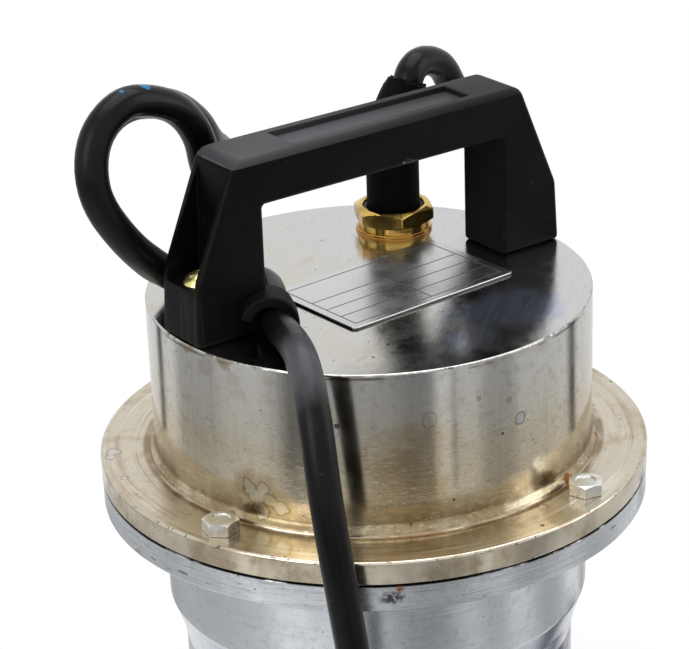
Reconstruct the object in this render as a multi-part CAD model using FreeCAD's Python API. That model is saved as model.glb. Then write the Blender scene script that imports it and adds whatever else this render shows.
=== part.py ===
import FreeCAD, Part
import math
import os

# Submersible pump, in millimetres. Origin on the shaft's axis at the floor, +Z up, handle along X.

# Clearances
FIT = 0.15              # radial gap of parts that stay put
RUN = 0.05              # radial gap of small running fits
FACE_GAP = 0.1          # gap between faces that turn on each other
CORD_GAP = 0.35         # gap between the power cord and the channel that holds it

# Stack of castings, from the floor up
FOOT_H = 6.0
STRAINER_H = 30.0
SUCTION_COVER_T = 6.0
VOLUTE_H = 46.0
OIL_CHAMBER_H = 40.0
HOUSING_H = 132.0
GASKET_T = 0.5
COVER_FLANGE_T = 7.5

STRAINER_Z = FOOT_H
SUCTION_Z = STRAINER_Z + STRAINER_H
VOLUTE_Z = SUCTION_Z + SUCTION_COVER_T
OIL_Z = VOLUTE_Z + VOLUTE_H
HOUSING_Z = OIL_Z + OIL_CHAMBER_H
GASKET_Z = HOUSING_Z + HOUSING_H
COVER_Z = GASKET_Z + GASKET_T
FLANGE_TOP = COVER_Z + COVER_FLANGE_T

# Head cover
COVER_R = 70.0
COVER_H = 51.8          # from the flange's top to the lid's top
COVER_WALL = 3.0
LID_T = 4.0
COVER_FLANGE_R = 87.5
COVER_FILLET = 2.5
LID_ROUND = 1.2
STEP_R = 71.6
STEP_H = 0.8
SPIGOT_WALL = 3.6
LID_TOP = FLANGE_TOP + COVER_H
LID_UNDER = LID_TOP - LID_T

# Motor housing
BARREL_R = 63.6
BORE_R = 60.15
LEDGE_R = 58.5
COLLAR_R = 68.2
COLLAR_H = 33.5
COLLAR_TAPER = 16.0
TOP_FLANGE_R = COVER_FLANGE_R - 0.2
TOP_FLANGE_T = 8.6
LOW_FLANGE_R = 76.0      # also the oil chamber's top flange
LOW_FLANGE_T = 10.0
TOP_BORE_R = 64.0
TOP_BORE_DEPTH = 14.0

# Head cover bolts, M6
M6_R = 3.0
M6_HOLE_R = 3.3
M6_AF = 10.0
M6_HEAD = 4.0
COVER_BOLT_EDGE = 8.5
COVER_BOLT_PCR = COVER_FLANGE_R - COVER_BOLT_EDGE
COVER_BOLT_ANGLE = 18.3
COVER_BOLT_TAIL = 2.0

# Handle
HANDLE_W = 20.5
HANDLE_FOOT_X = 69.7
HANDLE_KNEE_X = 68.5
HANDLE_KNEE_Z = 20.2    # above the lid
HANDLE_TOP_X = 54.0
HANDLE_TOP_Z = 55.2
GRIP_T = 15.5
OPENING_LEFT_X = -44.6
OPENING_RIGHT_X = 46.2
HANDLE_CORNER = 4.0
POCKET_WALL = 2.7
POCKET_FLOOR_Z = 17.0
POCKET_BACK_X = 57.0
POCKET_TOP_Z = 51.0
GRIP_SLOT_X0 = -31.0
GRIP_SLOT_X1 = 36.5
GRIP_SLOT_DEPTH = 2.0
GRIP_SLOT_RIM = 4.0
M5_R = 2.5
HANDLE_SCREW_X = 62.0
HANDLE_SCREW_HEAD_R = 4.9
HANDLE_SCREW_HEAD = 3.2
HANDLE_SCREW_BITE = 10.0
SCREW_BOSS_R = 6.0
SCREW_BOSS_H = 8.0

# Cord clip on the handle's left leg
CLIP_X = -50.0
CLIP_Y = -19.0
CLIP_R = 9.7
CLIP_BORE_R = 5.5
CLIP_L = 8.0
CLIP_WEB = 4.5
CLIP_END_ANGLE = 165.0
CLIP_TURN = 60.0        # direction of the clip's axis about +Z

# Nameplate
PLATE_L = 65.0
PLATE_W = 39.5
PLATE_T = 0.8
PLATE_X = 5.4
PLATE_Y = -6.2
PLATE_TURN = 3.4
PLATE_CORNER = 1.5

# Cable gland
GLAND_X = 35.0
GLAND_Y = 33.0
GLAND_WASHER_R = 12.6
GLAND_WASHER_T = 0.6
GLAND_BASE_R = 12.35
GLAND_BASE_T = 0.8
GLAND_BODY_R = 11.6
GLAND_BODY_H = 2.1
GLAND_THREAD_R = 10.0
GLAND_NECK_R = 10.4
GLAND_NECK_H = 2.6
GLAND_NUT_AF = 24.0
GLAND_NUT_H = 5.4
GLAND_NUT_LIP = 1.5
GLAND_MOUTH_R = 10.15
GLAND_SEAL_H = 2.2
LOCKNUT_AF = 26.0
LOCKNUT_H = 4.0
SLEEVE_R = 8.7
SLEEVE_STRAIGHT = 30.0  # above the lid
SLEEVE_TAIL = 6.0       # below the lid's underside
INNER_CABLE_DROP = 22.0 # from the lid's underside to the cable's last bend
INNER_CABLE_RISE = 18.0 # straight run out of the terminal block

# Power cord
CORD_D = 9.8
CORD_R = CORD_D / 2

# Shaft, radii from the impeller's nut up
THREAD_R = 5.0
HUB_SEAT_R = 6.5
SEAL_SEAT_R = 8.0
LOW_BEARING_BORE_R = 8.5
CORE_SEAT_R = 11.0
TOP_BEARING_BORE_R = 7.5

# Ball bearings
LOW_BEARING_R = 20.0
LOW_BEARING_W = 12.0
LOW_BALL_R = 3.4
TOP_BEARING_R = 17.5
TOP_BEARING_W = 11.0
TOP_BALL_R = 3.0
BALL_COUNT = 8
CAGE_T = 1.6
CAGE_W = 8.8
RACE_LIP = 0.4          # share of the ball's radius that a race covers

# Brackets that hold the bearings
LOW_BRACKET_T = 6.0
TOP_BRACKET_T = 6.0
HUB_WALL = 5.0
WAVE_SPRING_T = 1.6
WAVE_SPRING_GAP = 1.5

# Motor
STATOR_LIFT = 34.0      # from the housing's low face to the core
STATOR_ROOM = 38.0      # from the core to the housing's top face
STATOR_H = HOUSING_H - STATOR_LIFT - STATOR_ROOM
STATOR_Z = HOUSING_Z + STATOR_LIFT
STATOR_BORE_R = 33.6
AIR_GAP = 0.4
END_TURN_H = 18.0
END_TURN_R0 = 37.0
END_TURN_R1 = 56.0
SLOT_COUNT = 24
SLOT_W = 4.4
SLOT_R0 = 38.0
SLOT_R1 = 51.0
BAR_COUNT = 18
BAR_R = 2.0
BAR_PCR = 28.8
END_RING_R0 = 20.0
END_RING_R1 = 31.5
END_RING_H = 6.0
LEAD_HOLE_R = 6.0
LEAD_R = 1.3
LEAD_PCR = 2.6
LEAD_X = 12.0
LEAD_Y = 42.0

# Electrical parts in the head cover
CAPACITOR_R = 17.5
CAPACITOR_H = 50.0
CAPACITOR_X = -24.0
CAPACITOR_Y = -24.0
CLAMP_T = 1.2
CLAMP_W = 12.0
CLAMP_LIFT = 18.0
CLAMP_FOOT = 14.0
BLOCK_L = 36.0
BLOCK_W = 16.0
BLOCK_H = 14.0
BLOCK_X = 12.0
BLOCK_Y = 30.0
BLOCK_PITCH = 11.0
BLOCK_SCREW_R = 2.8
PROTECTOR_R = 8.0
PROTECTOR_H = 5.0
PROTECTOR_X = -46.0

# Mechanical seal
SEAT_R = 15.0
SEAT_H = 6.0
SEAT_BORE_R = 9.0
WEB_T = 8.0
WEB_HOLE_R = 10.5
SEAL_HEAD_R = 14.0
SEAL_HEAD_H = 8.0
SPRING_H = 11.0
SPRING_WIRE_R = 0.9
SPRING_R = 10.6
SPRING_TURNS = 4
SPRING_TURN_STEPS = 12
CIRCLIP_R = 11.5
CIRCLIP_T = 1.2
LIP_SEAL_R = 15.0

# Oil chamber
OIL_TOP_R = LOW_FLANGE_R
OIL_LOW_R = OIL_TOP_R + 2.0
OIL_WAIST_R = 58.0
OIL_CAVITY_R = 52.0
OIL_FLANGE_T = 8.0
PLUG_Z = OIL_Z + 20.0
PLUG_R = 4.9
PLUG_BOSS_R = 9.5
PLUG_BOSS_Y = 60.0
PLUG_WASHER_T = 1.2
PLUG_AF = 14.0
PLUG_HEAD = 5.0
LOW_BOLT_EDGE = 6.0
LOW_BOLT_PCR = OIL_TOP_R - LOW_BOLT_EDGE
LOW_BOLT_BITE = 12.0
LOW_BOLT_ANGLE = 45.0
RING_R = 1.5            # section of the o-rings
TOP_RING_PCR = LOW_BOLT_PCR - 7.5
VOLUTE_RING_PCR = LOW_BOLT_PCR - 14.0

# Volute and discharge
VOLUTE_R = 72.0
CHAMBER_R = 64.0
CHAMBER_ROOF = 6.0
ROOF_HOLE_R = 40.0
VOLUTE_FLANGE_R = 84.0
VOLUTE_FLANGE_T = 10.0
DISCHARGE_Y = -38.0
DISCHARGE_BORE_R = 19.5
DISCHARGE_R = 25.5
DISCHARGE_X = 108.0
DISCHARGE_FLANGE_R = 36.0
DISCHARGE_FLANGE_T = 9.0
DISCHARGE_BOLT_EDGE = 5.6
DISCHARGE_BOLT_PCR = DISCHARGE_FLANGE_R - DISCHARGE_BOLT_EDGE
DISCHARGE_BOLT_SHORT = 1.0
DISCHARGE_GASKET_T = 2.0
ELBOW_BEND_R = 32.0
HOSE_TAIL_R = 25.0
HOSE_TAIL_L = 44.0
HOSE_TAIL_BARE = 14.0
HOSE_ROOT = 1.8
HOSE_BARB_COUNT = 3
HOSE_NECK = 0.6
M5_HEAD_AF = 8.0
M5_HEAD = 3.5

# Impeller
IMPELLER_R = 52.0
IMPELLER_ROOF_GAP = 3.0
IMPELLER_DISC_T = 5.0
BLADE_H = 14.0
BLADE_T = 4.0
BLADE_COUNT = 6
BLADE_R0 = 12.0
BLADE_BEND_R = 30.0
BLADE_BEND_OFF = 22.0
IMPELLER_HUB_R = 14.0
IMPELLER_HUB_H = 23.0
KEY_W = 4.0
KEY_L = 14.0
CAP_WASHER_R = 11.0
CAP_WASHER_T = 1.5
IMPELLER_NUT_AF = 17.0
IMPELLER_NUT_H = 8.0
THREAD_STICKOUT = 1.0

# Suction cover, strainer and feet
EYE_R = 28.0
EYE_LIP_R = 33.0
EYE_LIP_H = 5.0
BASE_BOLT_EDGE = 7.0
BASE_BOLT_PCR = VOLUTE_FLANGE_R - BASE_BOLT_EDGE
BASE_BOLT_BITE = 8.0
BASE_BOLT_ANGLE = 0.0
STRAINER_R = 70.0
STRAINER_WALL = 2.5
STRAINER_RIM_R = VOLUTE_FLANGE_R
STRAINER_RIM_T = 3.0
STRAINER_SLOTS = 28
STRAINER_SLOT_W = 6.0
STRAINER_SLOT_H = 17.0
STRAINER_HOLES = 12
STRAINER_HOLE_R = 4.0
STRAINER_HOLE_PCR = 34.0
FOOT_R = 10.0
FOOT_PCR = 56.0
FOOT_COUNT = 4
FOOT_BOSS_R = 6.0
FOOT_BOSS_H = 8.0
FOOT_RECESS = 3.5
M4_R = 2.0
M4_HEAD_R = 4.0
M4_HEAD = 2.4

# The cord's coil, put away on the floor, with its ties, tail and plug
COIL_X = 0.0
COIL_Y = -172.0
COIL_MEAN_R = 6 * CORD_D
COIL_COLUMNS = 3
COIL_LAYERS = 4
TIE_T = 1.2
TIE_W = 12.0
TIE_ANGLES = (20.0, 150.0)
RELIEF_L = 28.0
RELIEF_R0 = 6.4
RELIEF_R1 = 9.0
PLUG_BODY_L = 36.0
PLUG_BODY_W = 34.0
PLUG_BODY_H = 22.0
PLUG_EDGE = 4.0
PIN_R = 2.4
PIN_L = 19.0
PIN_PITCH = 19.0

# Route of the power cord, from the sleeve's mouth to the coil: x, y, height over the cover's flange
CORD_ROUTE = [
    (39.4, 30.9, 95.5), (40, 31.1, 100.5), (44.6, 32.9, 105), (51.2, 35.2, 105.8),
    (57.8, 37.4, 102.3), (61.6, 38.6, 95), (64.5, 39, 84), (69, 35.5, 69.5), (74.8, 28, 51),
    (77.4, 29.9, 31), (76.4, 33.6, 13.5), (69.1, 44.2, 6), (55.9, 58.5, 5.6), (38.2, 71.5, 6.2),
    (20.7, 79.6, 15), (7.2, 83, 34), (-1.5, 79.4, 57), (-6.5, 70.6, 79), (-28.5, 43, 93),
    (-38, 34.5, 106), (-50, 30, 115.5), (-67.6, 25.8, 118.5), (-80.2, 22.6, 110.3),
    (-82.9, 21.8, 93.6), (-70.4, 25.4, 73.6), (-54.5, 31.6, 59), (-43, 35, 57.5),
    (-31, 35.3, 59.2), (-24.6, 33.5, 68.5), (-29.5, 30.5, 78.5), (-38.3, 26.8, 86),
    (-43.8, 22.5, 95.5), (-46.8, 19.5, 106.3), (-54, 18, 116.5), (-64, 16.6, 121.8),
    (-75.3, 15, 124.3), (-87, 13, 115.5), (-90, 11.8, 99), (-79, 13.4, 80), (-65, 16.8, 67),
    (-54, 20, 59.5), (-43.5, 21.5, 57.3), (-35, 17.8, 57.3), (-32, 9.6, 57.3), (-36, 1, 57.3),
    (-43.4, -11, 57.3), (-49.4, -23, 57.6), (-54, -36, 59.5), (-59.5, -49.5, 59.5),
    (-65.2, -62.5, 48.5), (-68.2, -70.5, 25), (-66.5, -75.3, -6), (-63.5, -79, -42),
    (-60.5, -82, -88), (-59, -85, -138), (-58.5, -88, -184), (-54.5, -94, -224),
    (-37, -98.8, -250), (-10, -101.8, -261.9), (12, -103.2, -261.9),
]

# Route of the tail, from the coil to the plug: x, y, height over the floor
TAIL_ROUTE = [
    (23.5, -236.7, 35.5), (0.0, -241.5, 35.3), (-24.6, -239.7, 31.5), (-47.4, -232.7, 22.0),
    (-67.1, -220.8, 11.5), (-82.7, -202.1, 5.4), (-92.5, -181.5, 5.6), (-97.0, -162.5, 9.6),
    (-98.0, -144.0, 11.0),
]

UP = FreeCAD.Vector(0, 0, 1)
nodes = {}
washers = []
m5_screws = []
m4_screws = []
wiring = []


def point(x, y, z):
    return FreeCAD.Vector(x, y, z)


def polar(r, angle, z=0.0):
    a = math.radians(angle)
    return point(r * math.cos(a), r * math.sin(a), z)


def disc(r, z0, z1, x=0.0, y=0.0):
    return Part.makeCylinder(r, z1 - z0, point(x, y, z0))


def ring(r_out, r_in, z0, z1, x=0.0, y=0.0):
    return disc(r_out, z0, z1, x, y).cut(disc(r_in, z0, z1, x, y))


def block(x0, x1, y0, y1, z0, z1):
    return Part.makeBox(x1 - x0, y1 - y0, z1 - z0, point(x0, y0, z0))


def hexagon(across_flats, z0, z1, x=0.0, y=0.0, turn=0.0):
    corner = across_flats / math.sqrt(3)
    corners = [polar(corner, turn + 60 * i, z0) + point(x, y, 0) for i in range(7)]
    return Part.Face(Part.makePolygon(corners)).extrude(point(0, 0, z1 - z0))


def turned(profile):
    """Solid of revolution about Z from a closed outline of (radius, height) points."""
    corners = [point(r, 0, z) for r, z in profile]
    outline = Part.makePolygon(corners + corners[:1])
    return Part.Face(outline).revolve(point(0, 0, 0), UP, 360)


def around(shape, count, start=0.0):
    """Copies of a shape, evenly spaced about Z."""
    copies = []
    for i in range(count):
        copy = shape.copy()
        copy.rotate(point(0, 0, 0), UP, start + 360.0 * i / count)
        copies.append(copy)
    return copies


def group(shapes):
    return Part.makeCompound(shapes)


def fused(shapes):
    return shapes[0].multiFuse(shapes[1:]).removeSplitter()


def tube(points, radius, note=None):
    """Round bar along straight runs joined by tangent arcs, each as large as its two runs allow."""
    edges = []
    tightest = None
    start = points[0]
    for before, here, after in zip(points, points[1:], points[2:]):
        back = before - here
        ahead = after - here
        shorter = min(back.Length, ahead.Length)
        back.normalize()
        ahead.normalize()
        turn = math.pi - back.getAngle(ahead)
        trim = 0.45 * shorter
        bend = trim / math.tan(turn / 2)
        middle = back + ahead
        middle.normalize()
        to_centre = bend / math.cos(turn / 2)
        enter = here + back * trim
        leave = here + ahead * trim
        edges.append(Part.LineSegment(start, enter).toShape())
        edges.append(Part.Arc(enter, here + middle * (to_centre - bend), leave).toShape())
        start = leave
        tightest = bend if tightest is None else min(tightest, bend)
        if note:
            print(note, "bend radius %.1f" % bend, "turn %.0f" % math.degrees(turn))
    edges.append(Part.LineSegment(start, points[-1]).toShape())
    path = Part.Wire(edges)
    direction = points[1] - points[0]
    section = Part.Wire(Part.makeCircle(radius, points[0], direction))
    solid = path.makePipeShell([section], True, False)
    if note:
        ideal = math.pi * radius ** 2 * path.Length
        print(note, "length %.0f" % path.Length, "volume over ideal %.4f" % (solid.Volume / ideal))
    return solid


def screw(x, y, seat, head, head_h, shank_r, shank_l, downwards=True):
    """Screw with its head on the height of its seat; head is a function of two heights."""
    if downwards:
        parts = [head(seat, seat + head_h), disc(shank_r, seat - shank_l, seat)]
    else:
        parts = [head(seat - head_h, seat), disc(shank_r, seat, seat + shank_l)]
    solid = fused(parts)
    solid.translate(point(x, y, 0))
    return solid


def bolt_circle(pcr, angle, count, make):
    placed = []
    for i in range(count):
        spot = polar(pcr, angle + 360.0 * i / count)
        placed.append(make(spot.x, spot.y))
    return placed


def cut_all(shape, tools):
    return shape.cut(group(tools)) if tools else shape


def cord_points():
    return [point(x, y, FLANGE_TOP + z) for x, y, z in CORD_ROUTE]


def clip_stretch():
    """The points of the power cord on the lid, round the left leg and through the clip."""
    low = LID_TOP + 2 * CORD_R
    first_turn = len(CORD_ROUTE) // 2
    return [spot for spot in cord_points()[first_turn:] if LID_TOP < spot.z < low]


def inner_cable_points():
    mouth, after = cord_points()[:2]
    lead_in = mouth - (after - mouth) * 1.6
    return [point(BLOCK_X + 3, BLOCK_Y, top_bracket_top() + BLOCK_H),
            point(BLOCK_X + 3, BLOCK_Y, top_bracket_top() + BLOCK_H + INNER_CABLE_RISE),
            point(GLAND_X - 8, GLAND_Y - 1, LID_UNDER - INNER_CABLE_DROP),
            point(GLAND_X, GLAND_Y, LID_UNDER - 6),
            point(GLAND_X + 0.2, GLAND_Y, LID_TOP + 18),
            lead_in - point(2.4, -1.0, 9.0),
            lead_in,
            mouth]


def top_bracket_top():
    return GASKET_Z - TOP_BORE_DEPTH + TOP_BRACKET_T


def cover_bolts_at(make):
    return bolt_circle(COVER_BOLT_PCR, COVER_BOLT_ANGLE, 4, make)


def low_bolts_at(make):
    return bolt_circle(LOW_BOLT_PCR, LOW_BOLT_ANGLE, 4, make)


def base_bolts_at(make):
    return bolt_circle(BASE_BOLT_PCR, BASE_BOLT_ANGLE, 4, make)


def feet_at(make):
    return bolt_circle(FOOT_PCR, LOW_BOLT_ANGLE, FOOT_COUNT, make)


def make_head_cover():
    inner = COVER_R - COVER_WALL
    shell = turned([
        (COVER_R, LID_TOP - LID_ROUND), (COVER_R - 0.3 * LID_ROUND, LID_TOP - 0.3 * LID_ROUND),
        (COVER_R - LID_ROUND, LID_TOP), (0, LID_TOP), (0, LID_UNDER), (inner, LID_UNDER),
        (inner, COVER_Z), (TOP_BORE_R - FIT - SPIGOT_WALL, COVER_Z),
        (TOP_BORE_R - FIT - SPIGOT_WALL, top_bracket_top()), (TOP_BORE_R - FIT, top_bracket_top()),
        (TOP_BORE_R - FIT, COVER_Z), (COVER_FLANGE_R, COVER_Z), (COVER_FLANGE_R, FLANGE_TOP - 0.8),
        (COVER_FLANGE_R - 0.8, FLANGE_TOP), (STEP_R, FLANGE_TOP), (STEP_R, FLANGE_TOP + STEP_H),
        (COVER_R, FLANGE_TOP + STEP_H + COVER_FILLET / 2)])
    bosses = [disc(SCREW_BOSS_R, LID_UNDER - SCREW_BOSS_H, LID_UNDER, side * HANDLE_SCREW_X, 0)
              for side in (-1, 1)]
    inside = disc(COVER_R - COVER_WALL / 2, LID_UNDER - SCREW_BOSS_H, LID_UNDER)
    shell = fused([shell] + [boss.common(inside) for boss in bosses])
    holes = cover_bolts_at(lambda x, y: disc(M6_HOLE_R, COVER_Z, FLANGE_TOP, x, y))
    holes.append(disc(GLAND_THREAD_R + FIT, LID_UNDER, LID_TOP, GLAND_X, GLAND_Y))
    bite = LID_TOP - HANDLE_SCREW_BITE - 0.5
    holes += [disc(M5_R + RUN, bite, LID_TOP, side * HANDLE_SCREW_X, 0) for side in (-1, 1)]
    nodes["head_cover"] = cut_all(shell, holes)


def make_head_cover_bolts():
    length = FLANGE_TOP - GASKET_Z + TOP_FLANGE_T + COVER_BOLT_TAIL

    def bolt(x, y):
        def head(z0, z1):
            chamfer = turned([(0, z0), (M6_AF, z0), (M6_AF, z1 - 0.6 * M6_AF / 2),
                              (M6_AF * 0.49, z1), (0, z1)])
            return hexagon(M6_AF, z0, z1, turn=COVER_BOLT_ANGLE).common(chamfer)
        return screw(x, y, FLANGE_TOP, head, M6_HEAD, M6_R, length)

    nodes["head_cover_bolts"] = group(cover_bolts_at(bolt))


def make_flange_gasket():
    sheet = ring(COVER_FLANGE_R - 0.6, TOP_BORE_R + FIT, GASKET_Z, COVER_Z)
    nodes["flange_gasket"] = cut_all(
        sheet, cover_bolts_at(lambda x, y: disc(M6_HOLE_R, GASKET_Z, COVER_Z, x, y)))


def make_motor_housing():
    top = GASKET_Z
    collar_low = top - TOP_FLANGE_T - COLLAR_H
    shoulder = top - TOP_BORE_DEPTH
    body = turned([
        (LOW_FLANGE_R, HOUSING_Z), (LOW_FLANGE_R, HOUSING_Z + LOW_FLANGE_T),
        (BARREL_R, HOUSING_Z + LOW_FLANGE_T), (BARREL_R, collar_low - COLLAR_TAPER),
        (BARREL_R + 1.6, collar_low - 0.45 * COLLAR_TAPER), (COLLAR_R, collar_low),
        (COLLAR_R, top - TOP_FLANGE_T), (TOP_FLANGE_R, top - TOP_FLANGE_T), (TOP_FLANGE_R, top),
        (TOP_BORE_R, top), (TOP_BORE_R, shoulder), (BORE_R, shoulder), (BORE_R, STATOR_Z),
        (LEDGE_R, STATOR_Z), (LEDGE_R, HOUSING_Z + LOW_BRACKET_T),
        (BORE_R, HOUSING_Z + LOW_BRACKET_T), (BORE_R, HOUSING_Z)])
    holes = cover_bolts_at(lambda x, y: disc(M6_R + RUN, top - TOP_FLANGE_T, top, x, y))
    holes += low_bolts_at(
        lambda x, y: disc(M6_R + RUN, HOUSING_Z, HOUSING_Z + LOW_FLANGE_T, x, y))
    nodes["motor_housing"] = cut_all(body, holes)


def handle_profile():
    z = LID_TOP
    outline = [
        (-HANDLE_FOOT_X, z), (-HANDLE_KNEE_X, z + HANDLE_KNEE_Z), (-HANDLE_TOP_X, z + HANDLE_TOP_Z),
        (HANDLE_TOP_X, z + HANDLE_TOP_Z), (HANDLE_KNEE_X, z + HANDLE_KNEE_Z), (HANDLE_FOOT_X, z),
        (OPENING_RIGHT_X, z), (OPENING_RIGHT_X, z + HANDLE_TOP_Z - GRIP_T),
        (OPENING_LEFT_X, z + HANDLE_TOP_Z - GRIP_T), (OPENING_LEFT_X, z)]
    corners = [point(x, -HANDLE_W / 2, h) for x, h in outline]
    return Part.Face(Part.makePolygon(corners + corners[:1])).extrude(point(0, HANDLE_W, 0))


def handle_pocket(side):
    """Recess in a leg's outer end, between two side walls, that runs out at the top corner."""
    half = HANDLE_W / 2 - POCKET_WALL
    low = LID_TOP + POCKET_FLOOR_Z
    high = LID_TOP + POCKET_TOP_Z
    slope = (HANDLE_KNEE_X - HANDLE_TOP_X) / (HANDLE_TOP_Z - HANDLE_KNEE_Z)
    apex_x = HANDLE_KNEE_X - slope * (POCKET_TOP_Z - HANDLE_KNEE_Z)
    outside = HANDLE_FOOT_X + 1
    outline = [(POCKET_BACK_X, low), (outside, low), (outside, high), (apex_x, high)]
    corners = [point(side * x, -half, h) for x, h in outline]
    return Part.Face(Part.makePolygon(corners + corners[:1])).extrude(point(0, 2 * half, 0))


def clip_shape():
    """Open ring on the left leg that holds the cord down, with its foot and its web."""
    z = cord_clip_height()
    length = CLIP_L + CLIP_WEB
    hoop = ring(CLIP_R, CLIP_BORE_R, 0, length)
    gap = block(0, 2 * CLIP_R, 0, 2 * CLIP_R, 0, length)
    gap.rotate(point(0, 0, 0), UP, CLIP_END_ANGLE)
    under = block(-2 * CLIP_R, 0, -2 * CLIP_R, 0, 0, length)
    hoop = cut_all(hoop, [gap, under])
    foot = block(CLIP_BORE_R, CLIP_R, LID_TOP - z, 0, 0, length)
    shape = fused([hoop, foot])
    shape.rotate(point(0, 0, 0), point(1, 0, 0), 90)
    shape.rotate(point(0, 0, 0), UP, CLIP_TURN - 90)
    shape.translate(point(CLIP_X, CLIP_Y, z) + polar(length, CLIP_TURN))
    above_lid = block(-COVER_R, COVER_R, -COVER_R, COVER_R, LID_TOP, LID_TOP + 2 * CLIP_R)
    return shape.common(above_lid)


def cord_clip_height():
    return LID_TOP + CORD_R + 0.7


def make_handle():
    bar = handle_profile()
    upright = [e for e in bar.Edges
               if abs(e.Vertexes[0].Y - e.Vertexes[-1].Y) > HANDLE_W / 2
               and abs(e.Vertexes[0].Z - LID_TOP - HANDLE_TOP_Z) < 0.01]
    bar = bar.makeFillet(HANDLE_CORNER, upright)
    slot_half = HANDLE_W / 2 - GRIP_SLOT_RIM
    slot = block(GRIP_SLOT_X0, GRIP_SLOT_X1, -slot_half, slot_half,
                 LID_TOP + HANDLE_TOP_Z - GRIP_SLOT_DEPTH, LID_TOP + HANDLE_TOP_Z + 1)
    bar = fused([bar, clip_shape()])
    floor = LID_TOP + POCKET_FLOOR_Z
    cuts = [slot, handle_pocket(-1), handle_pocket(1)]
    cuts += [disc(M5_R + FIT, LID_TOP, floor, side * HANDLE_SCREW_X, 0) for side in (-1, 1)]
    bar = cut_all(bar, cuts)
    channel = tube(clip_stretch(), CORD_R + CORD_GAP)
    nodes["handle"] = bar.cut(channel)


def make_handle_screws():
    seat = LID_TOP + POCKET_FLOOR_Z

    def pan(z0, z1):
        head = turned([(0, z0), (HANDLE_SCREW_HEAD_R, z0), (HANDLE_SCREW_HEAD_R, z0 + 0.45 * (z1 - z0)),
                       (HANDLE_SCREW_HEAD_R * 0.8, z0 + 0.85 * (z1 - z0)),
                       (HANDLE_SCREW_HEAD_R * 0.4, z1), (0, z1)])
        arm = HANDLE_SCREW_HEAD_R * 0.55
        cross = [block(-arm, arm, -0.6, 0.6, z1 - 1.5, z1), block(-0.6, 0.6, -arm, arm, z1 - 1.5, z1)]
        return cut_all(head, cross)

    length = POCKET_FLOOR_Z + HANDLE_SCREW_BITE
    nodes["handle_screws"] = group([
        screw(side * HANDLE_SCREW_X, 0, seat, pan, HANDLE_SCREW_HEAD, M5_R, length)
        for side in (-1, 1)])


def make_nameplate():
    plate = block(-PLATE_L / 2, PLATE_L / 2, -PLATE_W / 2, PLATE_W / 2, 0, PLATE_T)
    upright = [e for e in plate.Edges if abs(e.Vertexes[0].Z - e.Vertexes[1].Z) > PLATE_T / 2]
    plate = plate.makeFillet(PLATE_CORNER, upright)
    plate.rotate(point(0, 0, 0), UP, PLATE_TURN)
    plate.translate(point(PLATE_X, PLATE_Y, LID_TOP))
    nodes["nameplate"] = plate


def make_gland():
    x, y = GLAND_X, GLAND_Y
    base = LID_TOP + GLAND_WASHER_T
    body_top = base + GLAND_BASE_T + GLAND_BODY_H
    nut_top = body_top + GLAND_NUT_H
    neck_top = body_top + GLAND_NECK_H
    bore = SLEEVE_R + FIT
    washers.append(ring(GLAND_WASHER_R, GLAND_THREAD_R + FIT, LID_TOP, base, x, y))
    body = fused([disc(GLAND_BASE_R, base, base + GLAND_BASE_T, x, y),
                  disc(GLAND_BODY_R, base + GLAND_BASE_T, body_top, x, y),
                  disc(GLAND_NECK_R, body_top, neck_top, x, y),
                  disc(GLAND_THREAD_R, LID_UNDER - LOCKNUT_H - 1.5, base, x, y)])
    nodes["gland_body"] = body.cut(disc(bore, LID_UNDER - LOCKNUT_H - 2, neck_top, x, y))
    corner = GLAND_NUT_AF / math.sqrt(3)
    cone = turned([(0, body_top), (corner + 0.1, body_top), (corner + 0.1, nut_top - 2.2),
                   (GLAND_NUT_AF / 2 - 0.8, nut_top), (0, nut_top)])
    cone.translate(point(x, y, 0))
    nut = hexagon(GLAND_NUT_AF, body_top, nut_top, x, y, turn=5.0).common(cone)
    nut = nut.cut(disc(GLAND_NECK_R + RUN, body_top, nut_top - GLAND_NUT_LIP, x, y))
    nodes["gland_nut"] = nut.cut(disc(GLAND_MOUTH_R, nut_top - GLAND_NUT_LIP, nut_top, x, y))
    nodes["gland_seal"] = ring(GLAND_MOUTH_R - FIT, bore, neck_top, neck_top + GLAND_SEAL_H, x, y)
    locknut = hexagon(LOCKNUT_AF, LID_UNDER - LOCKNUT_H, LID_UNDER, x, y)
    nodes["gland_locknut"] = locknut.cut(
        disc(GLAND_THREAD_R + RUN, LID_UNDER - LOCKNUT_H, LID_UNDER, x, y))


def make_cable_sleeve():
    mouth, after = cord_points()[:2]
    low = LID_UNDER - SLEEVE_TAIL
    bend = LID_TOP + SLEEVE_STRAIGHT
    top = mouth + (after - mouth) * 0.7
    straight = disc(SLEEVE_R, low, bend, GLAND_X, GLAND_Y)
    stations = []
    for share, radius in ((0.0, SLEEVE_R), (0.35, SLEEVE_R * 0.96), (0.7, SLEEVE_R * 0.85), (1.0, 6.5)):
        ease = share ** 1.4
        centre = point(GLAND_X + (top.x - GLAND_X) * ease, GLAND_Y + (top.y - GLAND_Y) * ease,
                       bend + (top.z - bend) * share)
        stations.append(Part.Wire(Part.makeCircle(radius, centre, UP)))
    lean = Part.makeLoft(stations, True, False)
    sleeve = fused([straight, lean])
    bore = [tube(inner_cable_points(), CORD_R + FIT), tube(cord_points()[:4], CORD_R + FIT)]
    nodes["cable_sleeve"] = cut_all(sleeve, bore)


def make_inner_cable():
    wiring.append(tube(inner_cable_points(), CORD_R))


def groove_ring(bore_r, outer_r, ball_r, pitch_r, width, z, inner):
    middle = z + width / 2
    groove = Part.makeTorus(pitch_r, ball_r + RUN, point(0, 0, middle))
    lip = ball_r * RACE_LIP
    if inner:
        body = ring(pitch_r - ball_r + lip, bore_r, z, z + width)
    else:
        body = ring(outer_r, pitch_r + ball_r - lip, z, z + width)
    return body.cut(groove)


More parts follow.
